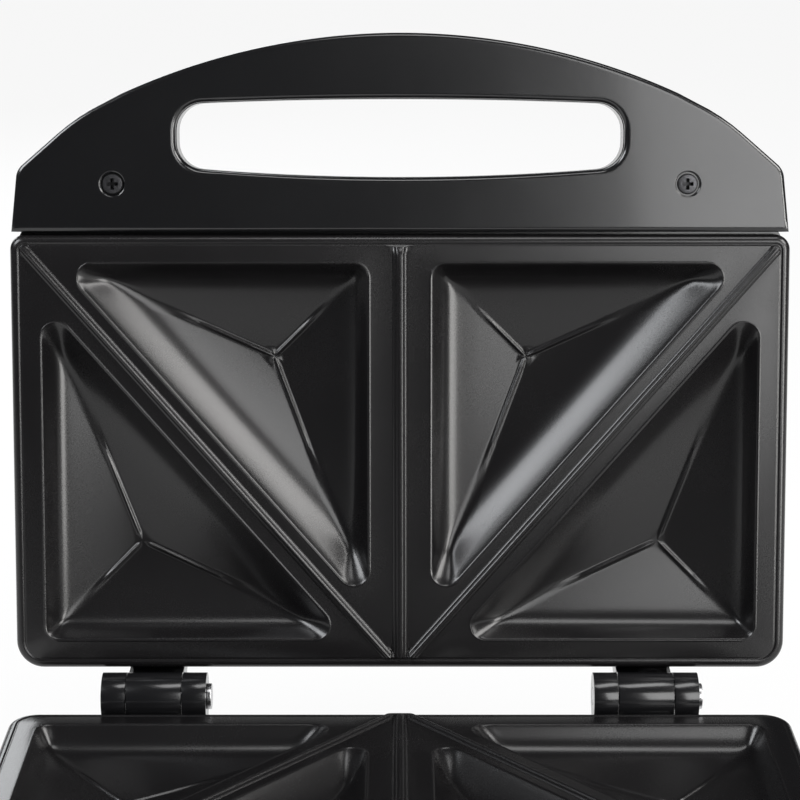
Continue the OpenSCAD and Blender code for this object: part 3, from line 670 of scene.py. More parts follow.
# How a pocket falls from its legs and from its long side: distance in millimetres, share of the full depth
LEG_FALL = [(-0.6, 0.0), (-0.2, 0.003), (0.2, 0.02), (0.7, 0.075), (1.4, 0.175), (2.4, 0.32), (3.6, 0.45),
            (5.0, 0.54), (6.8, 0.608), (9.0, 0.665), (13.0, 0.755), (18.0, 0.852), (23.0, 0.933), (28.5, 1.0)]
LONG_FALL = [(-0.6, 0.0), (-0.2, 0.003), (0.2, 0.02), (0.8, 0.07), (1.8, 0.155), (3.4, 0.285), (5.4, 0.43),
             (7.6, 0.56), (10.0, 0.665), (12.4, 0.74), (15.0, 0.797), (18.0, 0.852), (23.0, 0.933), (28.5, 1.0)]
# A pocket ring's corner radius at its inset from the rim
POCKET_ROUND = [(-0.8, 5.2), (0.0, 4.4), (3.0, 5.4), (7.0, 6.8), (12.0, 4.6), (17.0, 2.0), (30.0, 0.6)]
BEND_SPREAD, BEND_GROWTH = 0.2, 0.09
# How softly the walls meet: on the floor of the pocket, and how that sharpens towards its middle
CREASE_SOFT, CREASE_SHARP, SHARP_AT, SHARP_OVER = 0.035, 0.15, 14.0, 12.0
RIM_FALL, RIM_REACH = 0.06, 4.0
BEAD_HEIGHT, BEAD_AT, BEAD_WIDTH = 0.16, -0.3, 0.22
CREASE_FROM, MIDDLE_RISE = 6.0, 0.5
# Insets of a pocket's rings: those near the rim, then evenly from the first to near the middle
RING_FIRST, RING_STEP, RING_LAST = 10.4, 1.1, 0.7
RIM_INSETS = [-0.8, -0.65, -0.52, -0.4, -0.28, -0.16, -0.04, 0.08, 0.22, 0.4, 0.62, 0.9, 1.25, 1.65, 2.1, 2.6, 3.2,
              3.9, 4.7, 5.6, 6.6, 7.8, 9.2]


def looked_up(table, value):
    """Straight-line look-up in a table of pairs"""
    keys = [row[0] for row in table]
    i = max(1, min(len(table) - 1, bisect.bisect(keys, value)))
    (x0, y0), (x1, y1) = table[i - 1], table[i]
    return y0 + (y1 - y0) * (min(max(value, x0), x1) - x0) / (x1 - x0)


def fall(table, value):
    """The table's share at a distance, with the bends between its rows rounded"""
    spread = BEND_SPREAD + BEND_GROWTH * max(value, 0.0)
    return sum(looked_up(table, value + spread * k) for k in (-1.0, -0.5, 0.0, 0.5, 1.0)) / 5


def to_side(point, a, b):
    u = (b - a).normalized()
    return abs((point.x - a.x) * u.y - (point.y - a.y) * u.x)


def pocket_share(t, point, inset):
    """Share of the full depth at a point: the three walls and the rounded rim, blended where they meet"""
    shares = [fall(LONG_FALL, to_side(point, t[1], t[2])), fall(LEG_FALL, to_side(point, t[0], t[1])),
              fall(LEG_FALL, to_side(point, t[0], t[2])),
              fall(LEG_FALL, inset) + RIM_FALL * min(max(inset, 0.0), RIM_REACH)]
    soft = CREASE_SOFT * min(1.0, max(CREASE_SHARP, (SHARP_AT - inset) / SHARP_OVER))
    low = min(shares)
    return low - soft * math.log(sum(math.exp((low - share) / soft) for share in shares))


def ring_path(t, inset, radius, arc=12, side=26):
    """A rounded triangle with points bunched towards its corners"""
    centre, full = incentre(t), inradius(t)
    scale = (full - inset) / full
    corners = [centre + (p - centre) * scale for p in t]
    arcs = [corner_arc(corners[i - 1], corners[i], corners[(i + 1) % 3], radius, arc) for i in range(3)]
    path = []
    for i in range(3):
        path += arcs[i]
        a, b = arcs[i][-1], arcs[(i + 1) % 3][0]
        for k in range(1, side):
            share = (1 - math.cos(math.pi * k / side)) / 2
            path.append(a + (b - a) * share)
    return path


def crease_rib(t, point):
    """Height of the fine raised rib along the three creases at a point"""
    centre = incentre(t)
    best = 0.0
    for corner in t:
        along = corner - centre
        reach = along.length * CREASE_REACH
        u = along.normalized()
        rel = point - centre
        s = rel.dot(u)
        d = abs(rel.x * u.y - rel.y * u.x)
        if s < -1.0 or s > reach:
            continue
        fade = min(1.0, (reach - s) / (CREASE_FADE * reach))
        best = max(best, CREASE_HEIGHT * fade * math.exp(-((d / CREASE_WIDTH) ** 2)))
    return best


def pocket_patch(t):
    """The pocket's skin as rings from its rim to the incentre, and its outermost ring"""
    s = sizes()
    full = inradius(t)
    insets = RIM_INSETS + np.arange(RING_FIRST, full - RING_LAST, RING_STEP).tolist()
    rings, points = [], []
    for inset in insets:
        radius = min(looked_up(POCKET_ROUND, inset), 0.75 * (full - inset))
        ring = ring_path(t, inset, max(radius, 0.25))
        rings.append(ring)
        for p in ring:
            depth = s.pocket_depth * max(0.0, pocket_share(t, p, inset)) if inset > -0.5 else 0.0
            bead = BEAD_HEIGHT * math.exp(-(((inset - BEAD_AT) / BEAD_WIDTH) ** 2))
            lift = crease_rib(t, p) if inset > CREASE_FROM else bead
            points.append((p.x, p.y, s.land + depth - lift))
    count = len(rings[0])
    faces = band_faces(count, len(rings))
    centre = incentre(t)
    points.append((centre.x, centre.y, s.land + s.pocket_depth - MIDDLE_RISE))
    last = (len(rings) - 1) * count
    faces += [(last + i, last + (i + 1) % count, len(points) - 1) for i in range(count)]
    return points, faces, rings[0]


def flipped(patch):
    points, faces = patch[:2]
    return [(-x, y, z) for x, y, z in points], [tuple(reversed(face)) for face in faces]


# Across a sealing rib from its middle: the foot and run of the bank and of the crest, and the gutter beside it
BANK_FOOT, BANK_RUN, CREST_FOOT, CREST_RUN, ROUNDING = 1.7, 0.84, 0.74, 0.74, 2.2
GUTTER_AT, GUTTER_WIDTH, GUTTER_DEPTH = 1.98, 0.2, 0.3
BAR_FLAT = 0.5
RIB_OFFSETS = (2.45, 2.25, 2.1, 1.98, 1.86, 1.7, 1.58, 1.42, 1.24, 1.04, 0.86, 0.74, 0.64, 0.52, 0.38, 0.22, 0.0)


def rib_profile(distance):
    """Height over the land across a sealing rib: a low bank with a fine crest"""
    full = sizes().rib_height

    def step(foot, run):
        return 1.0 - (1.0 - np.clip((foot - distance) / run, 0.0, 1.0)) ** ROUNDING

    gutter = GUTTER_DEPTH * np.exp(-(((distance - GUTTER_AT) / GUTTER_WIDTH) ** 2))
    return full * (0.5 * step(BANK_FOOT, BANK_RUN) + 0.5 * step(CREST_FOOT, CREST_RUN)) - gutter


# The groove inside the plate's rounded rim, and where the land with its ribs begins
GROOVE_AT, GROOVE_WIDTH, GROOVE_DEPTH, LAND_EDGE = 2.75, 0.28, 0.28, 3.3
RIM_LINES = (0.06, 0.22, 0.5, 0.9, 1.35, 1.8, 2.2, 2.45, 2.65, 2.85, 3.05, 3.35)
# Where the ribs begin and end, and how far they take to rise
BAR_END, BAR_FRONT, BAR_REAR, RISE = 3.5, 3.2, 1.6, 0.8
DIAGONAL_START, DIAGONAL_RISE, DIAGONAL_SHORT = 0.2, 0.3, 3.2
DIAGONAL_STEPS, BAR_STEPS = 60, 50


def ramp(value, run):
    """A rise from 0 to 1 over `run`"""
    return np.clip(value / run, 0.0, 1.0)


def plate_height(x, y):
    """Height of the plate's land, rim and ribs at points of the half's frame"""
    s = sizes()
    a, b = diagonal()
    u = (b - a).normalized()
    x_side = np.abs(x)
    across = np.abs((x_side - a.x) * u.y - (y - a.y) * u.x)
    along = (x_side - a.x) * u.x + (y - a.y) * u.y
    bar = rib_profile(np.maximum(x_side - BAR_FLAT, 0.0))
    bar = bar * (ramp(y - front_y() - BAR_FRONT, RISE) * ramp(rear_y() - BAR_REAR - y, RISE))
    lift = rib_profile(across) * ramp(along + DIAGONAL_START, DIAGONAL_RISE)
    lift = np.maximum(lift * ramp(rear_y() - DIAGONAL_REAR - y, RISE), bar)
    mid_y = (front_y() + rear_y()) / 2
    radius = np.where(y < mid_y, FRONT_R, s.corner_r)
    qx = x_side - half_w() + radius
    qy = np.abs(y - mid_y) - s.plate_d / 2 + radius
    edge = radius - np.hypot(np.maximum(qx, 0), np.maximum(qy, 0)) - np.minimum(np.maximum(qx, qy), 0)
    fall = RIM_R - np.sqrt(np.maximum(RIM_R ** 2 - np.clip(RIM_R - edge, 0.0, RIM_R) ** 2, 0.0))
    groove = GROOVE_DEPTH * np.exp(-(((edge - GROOVE_AT) / GROOVE_WIDTH) ** 2))
    return s.land - np.where(edge > LAND_EDGE, lift, 0.0) + fall + groove


def plate_outline(inset):
    s = sizes()
    return divided(box_path(-half_w() + inset, front_y() + inset, half_w() - inset, rear_y() - inset,
                            max(FRONT_R - inset, 0.6), max(s.corner_r - inset, 0.6), 14))


def plate_lines():
    """The relief's extra edges: rim contours and the edges of the three ribs"""
    a, b = diagonal()
    u = (b - a).normalized()
    n = Vector((-u.y, u.x))
    lines = [(plate_outline(inset), True) for inset in RIM_LINES]
    steps = np.linspace(0.0, (b - a).length - DIAGONAL_SHORT, DIAGONAL_STEPS).tolist()
    bar_steps = np.linspace(front_y() + BAR_END, rear_y() - BAR_END, BAR_STEPS).tolist()
    for offset in RIB_OFFSETS:
        for side in ((1, -1) if offset else (1,)):
            track = [a + u * s + n * offset * side for s in steps]
            lines.append((track, False))
            lines.append(([Vector((-p.x, p.y)) for p in track], False))
            x = side * (offset + BAR_FLAT)
            lines.append(([Vector((x, y)) for y in bar_steps], False))
    lines.append(([Vector((0.0, y)) for y in bar_steps], False))
    return lines


def plate_mesh(half):
    """A cast plate: four pockets, the land with its ribs, the rounded rim and the skirt"""
    patches, rims = [], []
    for t in pocket_triangles():
        points, faces, rim = pocket_patch(t)
        patches += [(points, faces), flipped((points, faces))]
        rims += [[tuple(p) for p in rim], [(-p.x, p.y) for p in rim]]
    edge = plate_outline(0.0)
    patches.append(relief(half, edge, rims, plate_lines(), plate_height))
    top = sizes().land + RIM_R
    patches.append(wall_strip(edge, top, sizes().land + sizes().skirt))
    return thickened(stitched(half, patches, "plate"), PLATE_WALL)


class TOASTER_OT_cooking_plates(bpy.types.Operator):
    """Casts both non-stick plates with their triangular pockets, creases and sealing ribs"""

    bl_idname = "toaster.cooking_plates"
    bl_label = "Cooking Plates"

    def execute(self, context):
        for half in HALVES:
            add_piece(half + "_cast_plate", plate_mesh(half), half, "nonstick",
                      [half + "_cooking_plate"], 50)
        return {"FINISHED"}


# ---- the handle covers ---------------------------------------------------------------------------
COVER_T = 2.8
COVER_IN = 0.2
SEAM = 0.8
COVER_EDGE = 1.5
COVER_WALL = 1.1
EDGE_SHARE = 0.8
# A screw recess: its radius, the width and drop of its lip, its floor and the hole for the shank
RECESS_R, RECESS_LIP, LIP_DROP, RECESS_DEPTH, SHANK_R = 3.5, 0.35, 0.25, 1.35, 1.9
NOTCH_W, NOTCH_D, NOTCH_WALL = 25.0, 13.0, 2.4
COVER_INSETS = (0.05, 0.16, 0.34, 0.6, 0.9, 1.2, 1.5, 1.75)


def screw_places():
    return [(side * sizes().screw_x, front_y() - sizes().screw_f) for side in (-1, 1)]


def circle(centre, radius, count=48):
    return [Vector((centre[0] + radius * math.cos(2 * math.pi * i / count),
                    centre[1] + radius * math.sin(2 * math.pi * i / count))) for i in range(count)]


def cover_outline(half, drawn_in):
    """A cover's outline drawn in, with the latch's notch in the base one"""
    path = handle_path(COVER_IN + drawn_in, front_y() - SEAM - drawn_in, 12)
    if half == "base":
        wide = NOTCH_W / 2 + drawn_in
        back = tip_y() + NOTCH_D + drawn_in
        path = [p for p in path if abs(p.x) > wide or p.y > back]
        path = [Vector((wide, back)), Vector((wide, path[0].y))] + path
        path += [Vector((-wide, path[-1].y)), Vector((-wide, back))]
    return divided(path)


def cover_mesh(half):
    """A handle cover: a face with rounded edges, its finger gap and two screw recesses"""
    s = sizes()
    edge_r = COVER_EDGE
    outer = cover_outline(half, 0.0)
    gap = divided(gap_path(COVER_IN))
    outer_far = np.array([tuple(p) for p in divided(outer, 0.8)])
    gap_far = np.array([tuple(p) for p in divided(gap, 0.8)])

    def nearest(x, y, cloud):
        out = np.empty(len(x))
        for i in range(0, len(x), 2000):
            dx = x[i:i + 2000, None] - cloud[None, :, 0]
            dy = y[i:i + 2000, None] - cloud[None, :, 1]
            out[i:i + 2000] = np.sqrt((dx * dx + dy * dy).min(axis=1))
        return out

    def height(x, y):
        edge = np.minimum(nearest(x, y, outer_far), nearest(x, y, gap_far))
        fall = edge_r - np.sqrt(np.maximum(edge_r ** 2 - np.clip(edge_r - edge, 0.0, edge_r) ** 2, 0.0))
        z = s.land + fall * EDGE_SHARE
        for cx, cy in screw_places():
            r = np.hypot(x - cx, y - cy)
            lip = np.clip((RECESS_R + RECESS_LIP - r) / RECESS_LIP, 0.0, 1.0)
            z = np.where(r < RECESS_R + 0.4, s.land + LIP_DROP * lip ** 2, z)
            z = np.where(r < RECESS_R - 0.02, s.land + RECESS_DEPTH, z)
        return z

    lines = [(cover_outline(half, d), True) for d in COVER_INSETS]
    lines += [(divided(gap_path(COVER_IN + d)), True) for d in COVER_INSETS]
    for place in screw_places():
        lines += [(circle(place, RECESS_R + grow), True) for grow in (0.42, RECESS_LIP, 0.18, 0.0, -0.06)]
    holes = [gap] + [circle(place, SHANK_R) for place in screw_places()]
    patches = [relief(half, outer, holes, lines, height)]
    low = s.land + edge_r * EDGE_SHARE
    patches += [wall_strip(outer, low, s.land + COVER_T), wall_strip(gap, low, s.land + COVER_T)]
    return thickened(stitched(half, patches, "cover"), COVER_WALL)


class TOASTER_OT_handle_covers(bpy.types.Operator):
    """Moulds both inner handle covers with rounded edges, finger gap and screw recesses"""

    bl_idname = "toaster.handle_covers"
    bl_label = "Handle Covers"

    def execute(self, context):
        for half in HALVES:
            add_piece(half + "_handle_face", cover_mesh(half), half, "casing",
                      [half + "_handle_cover"], 40)
        return {"FINISHED"}


# ---- the casings ---------------------------------------------------------------------------------
# A casing's section from its rim to its outer face: share of the height, inset of the sides, reach of the nose
SECTION = [(0.0, 0.2, 9.0), (0.12, 0.32, 8.9), (0.25, 0.5, 8.5), (0.38, 0.68, 7.5), (0.5, 0.9, 6.0), (0.62, 1.4, 3.9),
           (0.72, 2.1, 1.6), (0.8, 3.1, -0.6), (0.86, 4.3, -2.8), (0.91, 5.8, -4.9), (0.95, 7.6, -6.8),
           (0.98, 9.8, -8.6), (1.0, 12.6, -10.6)]
HANDLE_SECTION = [(0.0, 0.2), (0.3, 0.42), (0.55, 0.75), (0.7, 1.15), (0.8, 1.7), (0.88, 2.5), (0.94, 3.5),
                  (0.98, 4.7), (1.0, 6.2)]
CAVITY = [(0.0, 0.0), (0.7, 1.5), (1.0, 7.0)]
NOSE_R = 17.0
HINGE_X, LUG_W, EAR_W, PLAY, BARREL_R, BORE_R, BORE_REACH = 72.0, 16.0, 7.0, 0.3, 7.0, 2.56, 20.0
LAMP_X, LAMP_BACK, LENS_R = 11.0, 22.0, 4.0


def shell_rim():
    return sizes().land + sizes().skirt + 0.2


def body_solid(half):
    s = sizes()
    rise = s.half_h - shell_rim()
    rings = []
    for share, inset, nose in SECTION:
        path = box_path(-half_w() + inset, front_y() - nose, half_w() - inset, rear_y() - inset / 3, NOSE_R,
                        s.corner_r, 16)
        rings.append((shell_rim() + rise * share, path))
    return lofted(rings, half)


def handle_solid(half):
    low = sizes().land + COVER_T + 0.02
    rise = sizes().handle_h - low
    return lofted([(low + rise * share, handle_path(inset, front_y() - SEAM, 10)) for share, inset in HANDLE_SECTION],
                  half)


def gap_cutter(half):
    """The finger gap with a rounded-over outer edge"""
    top = sizes().handle_h
    sections = [(0.0, 0.0), (top - 4.0, 0.0), (top - 2.2, 0.45), (top - 1.0, 1.3), (top - 0.3, 2.4), (top + 3.0, 6.0)]
    return lofted([(z, gap_path(grow)) for z, grow in sections], half)


def cavity_solid(half):
    s = sizes()
    low = shell_rim() - 1
    rise = s.half_h - s.wall - low
    rings = []
    for share, inset in CAVITY:
        path = box_path(-half_w() + s.wall + 0.5 + inset, front_y() + s.wall + inset * 1.3,
                        half_w() - s.wall - 0.5 - inset, rear_y() - s.wall - 0.3 - inset / 2,
                        s.corner_r - s.wall, s.corner_r - s.wall, 6)
        rings.append((low + rise * share, path))
    return lofted(rings, half)


def hollow_solid(half):
    s = sizes()
    path = handle_path(s.wall + 2.4, front_y() - SEAM - 2, 8)
    hollow = prism(half, path, s.land, s.handle_h - s.wall)
    return combined(hollow, [prism(half, gap_path(s.wall), 0, s.handle_h)], "DIFFERENCE")


ARM_ROOT, ARM_RISE, ARM_TANGENT = 0.6, 13.0, 0.68


def slab(half, name, side, x, width):
    """A slab of that width about x, its side view given as (y, z) corners"""
    points = [placed(half, (x + dx, y, z)) for dx in (-width / 2, width / 2) for y, z in side]
    count = len(side)
    return mesh_of(name, points, band_faces(count) + [tuple(range(count)), tuple(range(count, 2 * count))])


def hinge_arm(half, x, width):
    """A hinge barrel with its arm into the rear wall"""
    low = shell_rim() + 1.5
    root = rear_y() - sizes().wall + ARM_ROOT
    side = [(root, low), (rear_y() + PLAY, low), (1 - BARREL_R, 1.5),
            (BARREL_R * ARM_TANGENT, BARREL_R * ARM_TANGENT), (root, low + ARM_RISE)]
    barrel = rod(half, (x - width / 2, 0, 0), (x + width / 2, 0, 0), BARREL_R)
    return combined(barrel, [slab(half, "arm", side, x, width)], "UNION")


HEEL_GAP, HEEL_BACK, HEEL_TOP = 0.05, -0.95, -3.0


def lug_heel(x):
    """The heel that stops the lid: it lies against the base's rear wall when the lid is open"""
    reach = shell_rim() + 5.0
    turn = math.radians(LID_OPEN)
    face = rear_y() + HEEL_GAP
    corners = [(face, -reach), (HEEL_BACK, -reach), (HEEL_BACK, HEEL_TOP), (face, HEEL_TOP)]
    turned = [(y * math.cos(turn) - z * math.sin(turn), y * math.sin(turn) + z * math.cos(turn)) for y, z in corners]
    return slab("lid", "heel", turned, x, LUG_W - 2)


def flattened(bm):
    """Welds the seams and takes out edges within flat faces"""
    bmesh.ops.remove_doubles(bm, verts=bm.verts, dist=WELD)
    bmesh.ops.dissolve_limit(bm, angle_limit=FLAT_ANGLE, verts=bm.verts, edges=bm.edges)


def cleaned(bm, reach=SEAM_WELD):
    """Merges points that coincide and takes out faces without area"""
    bmesh.ops.remove_doubles(bm, verts=bm.verts, dist=reach)
    bmesh.ops.dissolve_degenerate(bm, dist=reach, edges=bm.edges)
    bmesh.ops.triangulate(bm, faces=[face for face in bm.faces if len(face.verts) > 4])
    bmesh.ops.dissolve_degenerate(bm, dist=reach, edges=bm.edges)
    bmesh.ops.remove_doubles(bm, verts=bm.verts, dist=reach)


def softened(mesh, width, segments=2, angle=38.0):
    """The mesh with its sharp edges rounded"""
    with edited(mesh) as bm:
        flattened(bm)
        sharp = [e for e in bm.edges if len(e.link_faces) == 2 and e.calc_face_angle(0.0) > math.radians(angle)]
        bmesh.ops.bevel(bm, geom=sharp, offset=width * MM, segments=segments, profile=0.6, affect="EDGES",
                        clamp_overlap=True)
        cleaned(bm)
    return mesh


VENT_W, VENT_L, VENT_START = 3.0, 34.0, 0.62
VENT_PLACES = range(-30, 31, 10)


def vent_slots(half):
    """Cutters for the vents in the casing's floor"""
    s = sizes()
    low = (-s.plate_d * VENT_START, s.half_h - s.wall - 1)
    high = (low[0] + VENT_L, s.half_h + 2)
    return [block(half, (x - VENT_W / 2, *low), (x + VENT_W / 2, *high)) for x in VENT_PLACES]


GLAND_X, GLAND_Z, GLAND_R = 40.0, 23.0, 5.6


def casing_mesh(half):
    """The body and its half of the handle, hollowed, with the half's own openings"""
    s = sizes()
    handle = combined(handle_solid(half), [gap_cutter(half)], "DIFFERENCE")
    mesh = combined(body_solid(half), [handle], "UNION")
    cuts = [cavity_solid(half), hollow_solid(half)]
    if half == "base":
        cuts += vent_slots(half)
        cuts.append(block(half, (-NOTCH_W / 2, tip_y() - 2, 0), (NOTCH_W / 2, tip_y() + NOTCH_D, s.handle_h + 2)))
        cuts.append(rod(half, (GLAND_X, rear_y() + 5, GLAND_Z), (GLAND_X, rear_y() - 15, GLAND_Z), GLAND_R))
    else:
        cuts += [rod(half, (x, front_y() + LAMP_BACK, s.half_h - 6), (x, front_y() + LAMP_BACK, s.half_h + 4), LENS_R)
                 for x in (-LAMP_X, LAMP_X)]
    return combined(mesh, cuts, "DIFFERENCE")


def notch_walls():
    """The walls that close the handle's hollow beside and behind the latch"""
    s = sizes()
    low, high = s.land + COVER_T + 0.1, s.handle_h - 1.4
    back = tip_y() + NOTCH_D
    wide = NOTCH_W / 2
    walls = [block("base", (x, tip_y() + 2.2, low), (x + NOTCH_WALL, back + 1.8, high))
             for x in (-wide - NOTCH_WALL, wide)]
    return combined(block("base", (-wide - 1, back, low), (wide + 1, back + 2, high)), walls, "UNION")


class TOASTER_OT_casings(bpy.types.Operator):
    """Moulds both casings with their half of the handle, the hinge lugs and ears and the open stop"""

    bl_idname = "toaster.casings"
    bl_label = "Casings"

    def execute(self, context):
        for half in HALVES:
            add_piece(half + "_casing", casing_mesh(half), half, "casing", [half + "_shell"], 32)
            arms = [(x, LUG_W) for x in (-HINGE_X, HINGE_X)]
            if half == "base":
                reach = LUG_W / 2 + PLAY + EAR_W / 2
                arms = [(x + side * reach, EAR_W) for x in (-HINGE_X, HINGE_X) for side in (-1, 1)]
            for number, (x, width) in enumerate(arms):
                arm = hinge_arm(half, x, width)
                if half == "lid":
                    arm = combined(arm, [lug_heel(x)], "UNION")
                bore = rod(half, (x - BORE_REACH, 0, 0), (x + BORE_REACH, 0, 0), BORE_R)
                arm = softened(combined(arm, [bore], "DIFFERENCE"), 0.5)
                add_piece("%s_hinge_arm_%d" % (half, number), arm, half, "casing", [], 40)
        add_piece("latch_notch_walls", softened(notch_walls(), 0.3), "base", "casing", [], 40)
        return {"FINISHED"}


# ---- screws, latch, lamps, feet ------------------------------------------------------------------
# A screw head from its middle to its rim, over its seat
HEAD_PROFILE = [(0.0, -1.02), (2.1, -1.0), (2.62, -0.93), (2.88, -0.72), (2.98, -0.35), (3.0, 0.0)]
SEAT, HEAD_SIDES = 1.4, 48
SLOT_L, SLOT_W, SLOT_TAPER, SLOT_TOP, SLOT_FLOOR = 1.7, 0.5, 0.8, -1.6, 2.6


def cross_head(half, x, y):
    """A pan head with a rolled edge and a tapered cross recess, its face towards the parting plane"""
    seat = sizes().land + SEAT
    rings = [(seat + z, circle((x, y), max(r, 0.02), HEAD_SIDES)) for r, z in HEAD_PROFILE]
    rings += [(seat + 0.02, circle((x, y), 1.6, HEAD_SIDES)), (seat + 6.0, circle((x, y), 1.55, HEAD_SIDES))]
    head = lofted(rings, half, "head")
    cuts = []
    for wide, slim in ((SLOT_W, SLOT_L), (SLOT_L, SLOT_W)):
        rings = [(seat + z, box_path(x - wide * share, y - slim * share, x + wide * share, y + slim * share, r, r, 3))
                 for z, share, r in ((SLOT_TOP, 1.0, 0.12), (SLOT_FLOOR, SLOT_TAPER, 0.08))]
        cuts.append(lofted(rings, half))
    mesh = combined(head, cuts, "DIFFERENCE")
    with edited(mesh) as bm:
        cleaned(bm)
    return mesh


class TOASTER_OT_cover_screws(bpy.types.Operator):
    """Turns the cross-head screws that hold the handle covers"""

    bl_idname = "toaster.cover_screws"
    bl_label = "Cover Screws"

    def execute(self, context):
        for half in HALVES:
            made = [add_piece("%s_cross_head_%d" % (half, i), cross_head(half, *place), half, "black_steel",
                              [], 30) for i, place in enumerate(screw_places())]
            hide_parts(half + "_cover_screws")
        return {"FINISHED"}


def node_copy(node):
    """A copy of a CAD node's mesh, with its seams welded"""
    mesh = frame["nodes"][node].data.copy()
    with edited(mesh) as bm:
        flattened(bm)
    return mesh


# Node, body, finish, slot and edge radius of the pieces whose shape is kept and whose edges are softened
SOFTENED = [
    ("latch", "latch", "casing", "latch_plastic", 0.7),
    ("rubber_feet", "base", "rubber", "foot_rubber", 0.8),
    ("cord_inlet_gland", "base", "rubber", "gland_rubber", 0.5),
    ("power_lens", "lid", "power", "red_lens", 0.7),
    ("ready_lens", "lid", "ready", "green_lens", 0.7),
    ("hinge_pins", "base", "pin", "pin_steel", 0.3),
    ("lid_element_clamps", "lid", "steel", "zinc_steel", 0.2),
    ("base_element_clamps", "base", "steel", "zinc_steel", 0.2),
]


class TOASTER_OT_small_parts(bpy.types.Operator):
    """Rounds the edges of the latch, feet, gland, lenses, pins and clamps"""

    bl_idname = "toaster.small_parts"
    bl_label = "Small Parts"

    def execute(self, context):
        for node, body, kind, slot, width in SOFTENED:
            mesh = softened(node_copy(node), width, 3, 30.0)
            add_piece(node + "_finished", mesh, body, kind, [node], 32)
        return {"FINISHED"}


# The finish of each CAD node that stays as it is
KEPT = {
    "element": ["base_heating_element", "lid_heating_element"],
    "shield": ["base_heat_shield", "lid_heat_shield", "thermal_fuse"],
    "steel": ["base_clamp_screws", "base_shield_screws", "base_terminal_screw", "cord_clamp_screws", "foot_screws",
              "lid_clamp_screws", "lid_shield_screws", "thermostat_bracket", "thermostat_screw", "fuse_clip"],
    "pin": ["latch_pin"],
    "ceramic": ["base_terminal_block", "lamp_holder"],
    "fibre": ["cord_clamp"],
    "brown": ["thermostat"],
    "neon": ["neon_lamps"],
}


class TOASTER_OT_inner_parts(bpy.types.Operator):
    """Finishes the elements, shields, brackets, screws and blocks inside the halves"""

    bl_idname = "toaster.inner_parts"
    bl_label = "Inner Parts"

    def execute(self, context):
        for kind, names in KEPT.items():
            for name in names:
                node = frame["nodes"][name]
                node.data.materials.clear()
                node.data.materials.append(material(kind))
        return {"FINISHED"}


# ---- the stage -----------------------------------------------------------------------------------
VIEW_TILT = 6.2
VIEW_DISTANCE = 0.690
FOCAL_PIXELS = 2371.0
IMAGE_PIXELS = 800.0
SENSOR = 36.0
AIM_V = 48.0
WHITE = (1.0, 1.0, 1.0)
SKY = (0.85, 0.92, 1.0)
SKY_STRENGTH = 0.02
FLOOR = (0.86, 0.86, 0.86)
FLOOR_ROUGHNESS = 0.75
FLOOR_GLOW = 0.92
FLOOR_SIZE = (3.2, 6.8)
FLOOR_MIDDLE = 2.6

LAMP_REACH = 1.15
# Name, direction seen from the lid, size, power and colour of each soft light
LAMPS = [
    ("upper_left", (-0.75, -0.34, 0.62), (0.6, 0.45), 9.5, (0.95, 0.97, 1.0)),
    ("upper_right", (0.75, -0.30, 0.62), (0.6, 0.45), 8.8, (1.0, 0.985, 0.97)),
    ("right", (0.76, -0.64, 0.12), (0.35, 0.6), 7.5, (1.0, 0.99, 0.97)),
    ("top", (0.15, -0.25, 0.95), (0.7, 0.3), 3.5, (1.0, 1.0, 1.0)),
    ("behind", (-0.45, 0.85, 0.45), (0.9, 0.6), 7.0, (0.96, 0.98, 1.0)),
    ("front_right", (0.35, -0.93, 0.32), (0.46, 0.66), 5.0, (1.0, 1.0, 1.0)),
]


def lamp(name, place, target, size, power, colour):
    """A soft rectangular light at a place, turned to its target"""
    data = bpy.data.lights.new(name, "AREA")
    data.shape = "RECTANGLE"
    data.size, data.size_y = size
    data.energy = power
    data.color = colour
    light = linked(name, data)
    light.location = place
    light.rotation_euler = (target - place).to_track_quat("-Z", "Y").to_euler()


def seen_white(tree, shader, glow, share, kinds):
    """Mixes a white glow over a shader, by `share`, for the rays that show the backdrop"""
    shown = [tree.node("ShaderNodeLightPath", {}, {}, "Is %s Ray" % kind) for kind in kinds]
    factor = shown[0]
    for other in shown[1:]:
        factor = factor.most(other)
    return tree.node("ShaderNodeMixShader", {}, {0: factor * share, 1: shader, 2: glow})


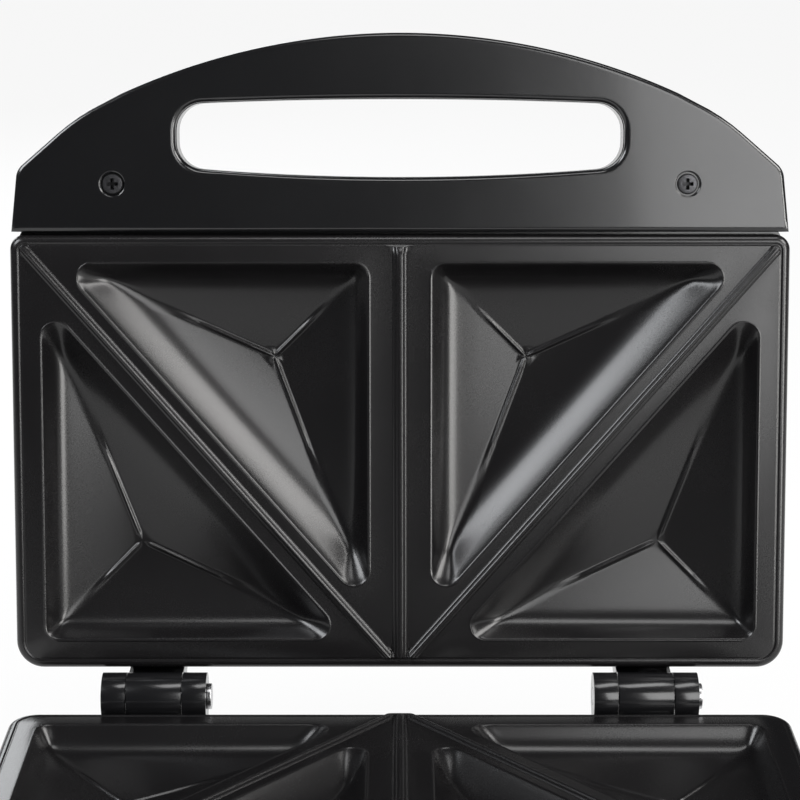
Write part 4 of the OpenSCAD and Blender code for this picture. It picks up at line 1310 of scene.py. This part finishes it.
class TOASTER_OT_stage(bpy.types.Operator):
    """Sets the camera, the soft lights, the pale floor and the white world"""

    bl_idname = "toaster.stage"
    bl_label = "Stage"

    def execute(self, context):
        scene = context.scene
        scene.view_settings.view_transform = "Standard"
        aim = placed("lid", (0.0, front_y() + AIM_V, sizes().land))
        rise = math.radians(LID_OPEN - 90 + VIEW_TILT)
        eye = aim + Vector((0.0, -math.cos(rise), math.sin(rise))) * VIEW_DISTANCE
        data = bpy.data.cameras.new("camera")
        data.sensor_width = SENSOR
        data.lens = SENSOR * FOCAL_PIXELS / IMAGE_PIXELS
        camera = linked("camera", data)
        camera.location = eye
        camera.rotation_euler = (aim - eye).to_track_quat("-Z", "Y").to_euler()
        scene.camera = camera

        world = bpy.data.worlds.new("studio")
        scene.world = world
        world.use_nodes = True
        tree = Tree(world.node_tree)
        dim = tree.node("ShaderNodeBackground", {}, {"Color": SKY, "Strength": SKY_STRENGTH})
        white = tree.node("ShaderNodeBackground", {}, {"Color": WHITE})
        shown = seen_white(tree, dim, white, 1.0, ["Camera"])
        tree.feed(tree.nodes["World Output"], {"Surface": shown})

        mesh = bpy.data.meshes.new("floor")
        with edited(mesh) as bm:
            bmesh.ops.create_grid(bm, x_segments=1, y_segments=1, size=0.5)
            bm.transform(Matrix.Translation((0.0, FLOOR_MIDDLE, 0.0)) @ Matrix.Diagonal((*FLOOR_SIZE, 1.0, 1.0)))
        floor = linked("floor", mesh)
        mat = bpy.data.materials.new("pale_floor")
        mat.use_nodes = True
        tree = Tree(mat.node_tree)
        surface = tree.nodes["Principled BSDF"]
        tree.feed(surface, {"Base Color": FLOOR, "Roughness": FLOOR_ROUGHNESS})
        glow = tree.node("ShaderNodeEmission", {}, {"Color": WHITE})
        shown = seen_white(tree, Wire(tree, surface.outputs[0]), glow, FLOOR_GLOW,
                           ["Camera", "Glossy", "Transmission"])
        tree.feed(tree.nodes["Material Output"], {"Surface": shown})
        mesh.materials.append(mat)

        for name, toward, size, power, colour in LAMPS:
            lamp(name, aim + Vector(toward).normalized() * LAMP_REACH, aim, size, power, colour)
        return {"FINISHED"}


# ---- the add-on ----------------------------------------------------------------------------------
OPERATORS = (TOASTER_OT_stage, TOASTER_OT_cooking_plates, TOASTER_OT_handle_covers, TOASTER_OT_casings,
             TOASTER_OT_cover_screws, TOASTER_OT_small_parts, TOASTER_OT_inner_parts)


class TOASTER_PT_panel(bpy.types.Panel):
    """Lists the toaster's operators"""

    bl_idname = "TOASTER_PT_panel"
    bl_label = "Sandwich Toaster"
    bl_space_type = "VIEW_3D"
    bl_region_type = "UI"
    bl_category = "Toaster"

    def draw(self, context):
        for operator in OPERATORS:
            self.layout.operator(operator.bl_idname)


CLASSES = (ToasterSizes, ToasterFinish, *OPERATORS, TOASTER_PT_panel)


def register():
    for cls in CLASSES:
        bpy.utils.register_class(cls)
    bpy.types.Scene.toaster_sizes = bpy.props.PointerProperty(type=ToasterSizes)
    bpy.types.Scene.toaster_finish = bpy.props.PointerProperty(type=ToasterFinish)


def unregister():
    del bpy.types.Scene.toaster_finish
    del bpy.types.Scene.toaster_sizes
    for cls in reversed(CLASSES):
        bpy.utils.unregister_class(cls)


def main():
    register()
    for operator in OPERATORS:
        getattr(bpy.ops.toaster, operator.bl_idname.split(".")[1])()
    bpy.context.view_layer.update()


if __name__ == "__main__":
    main()
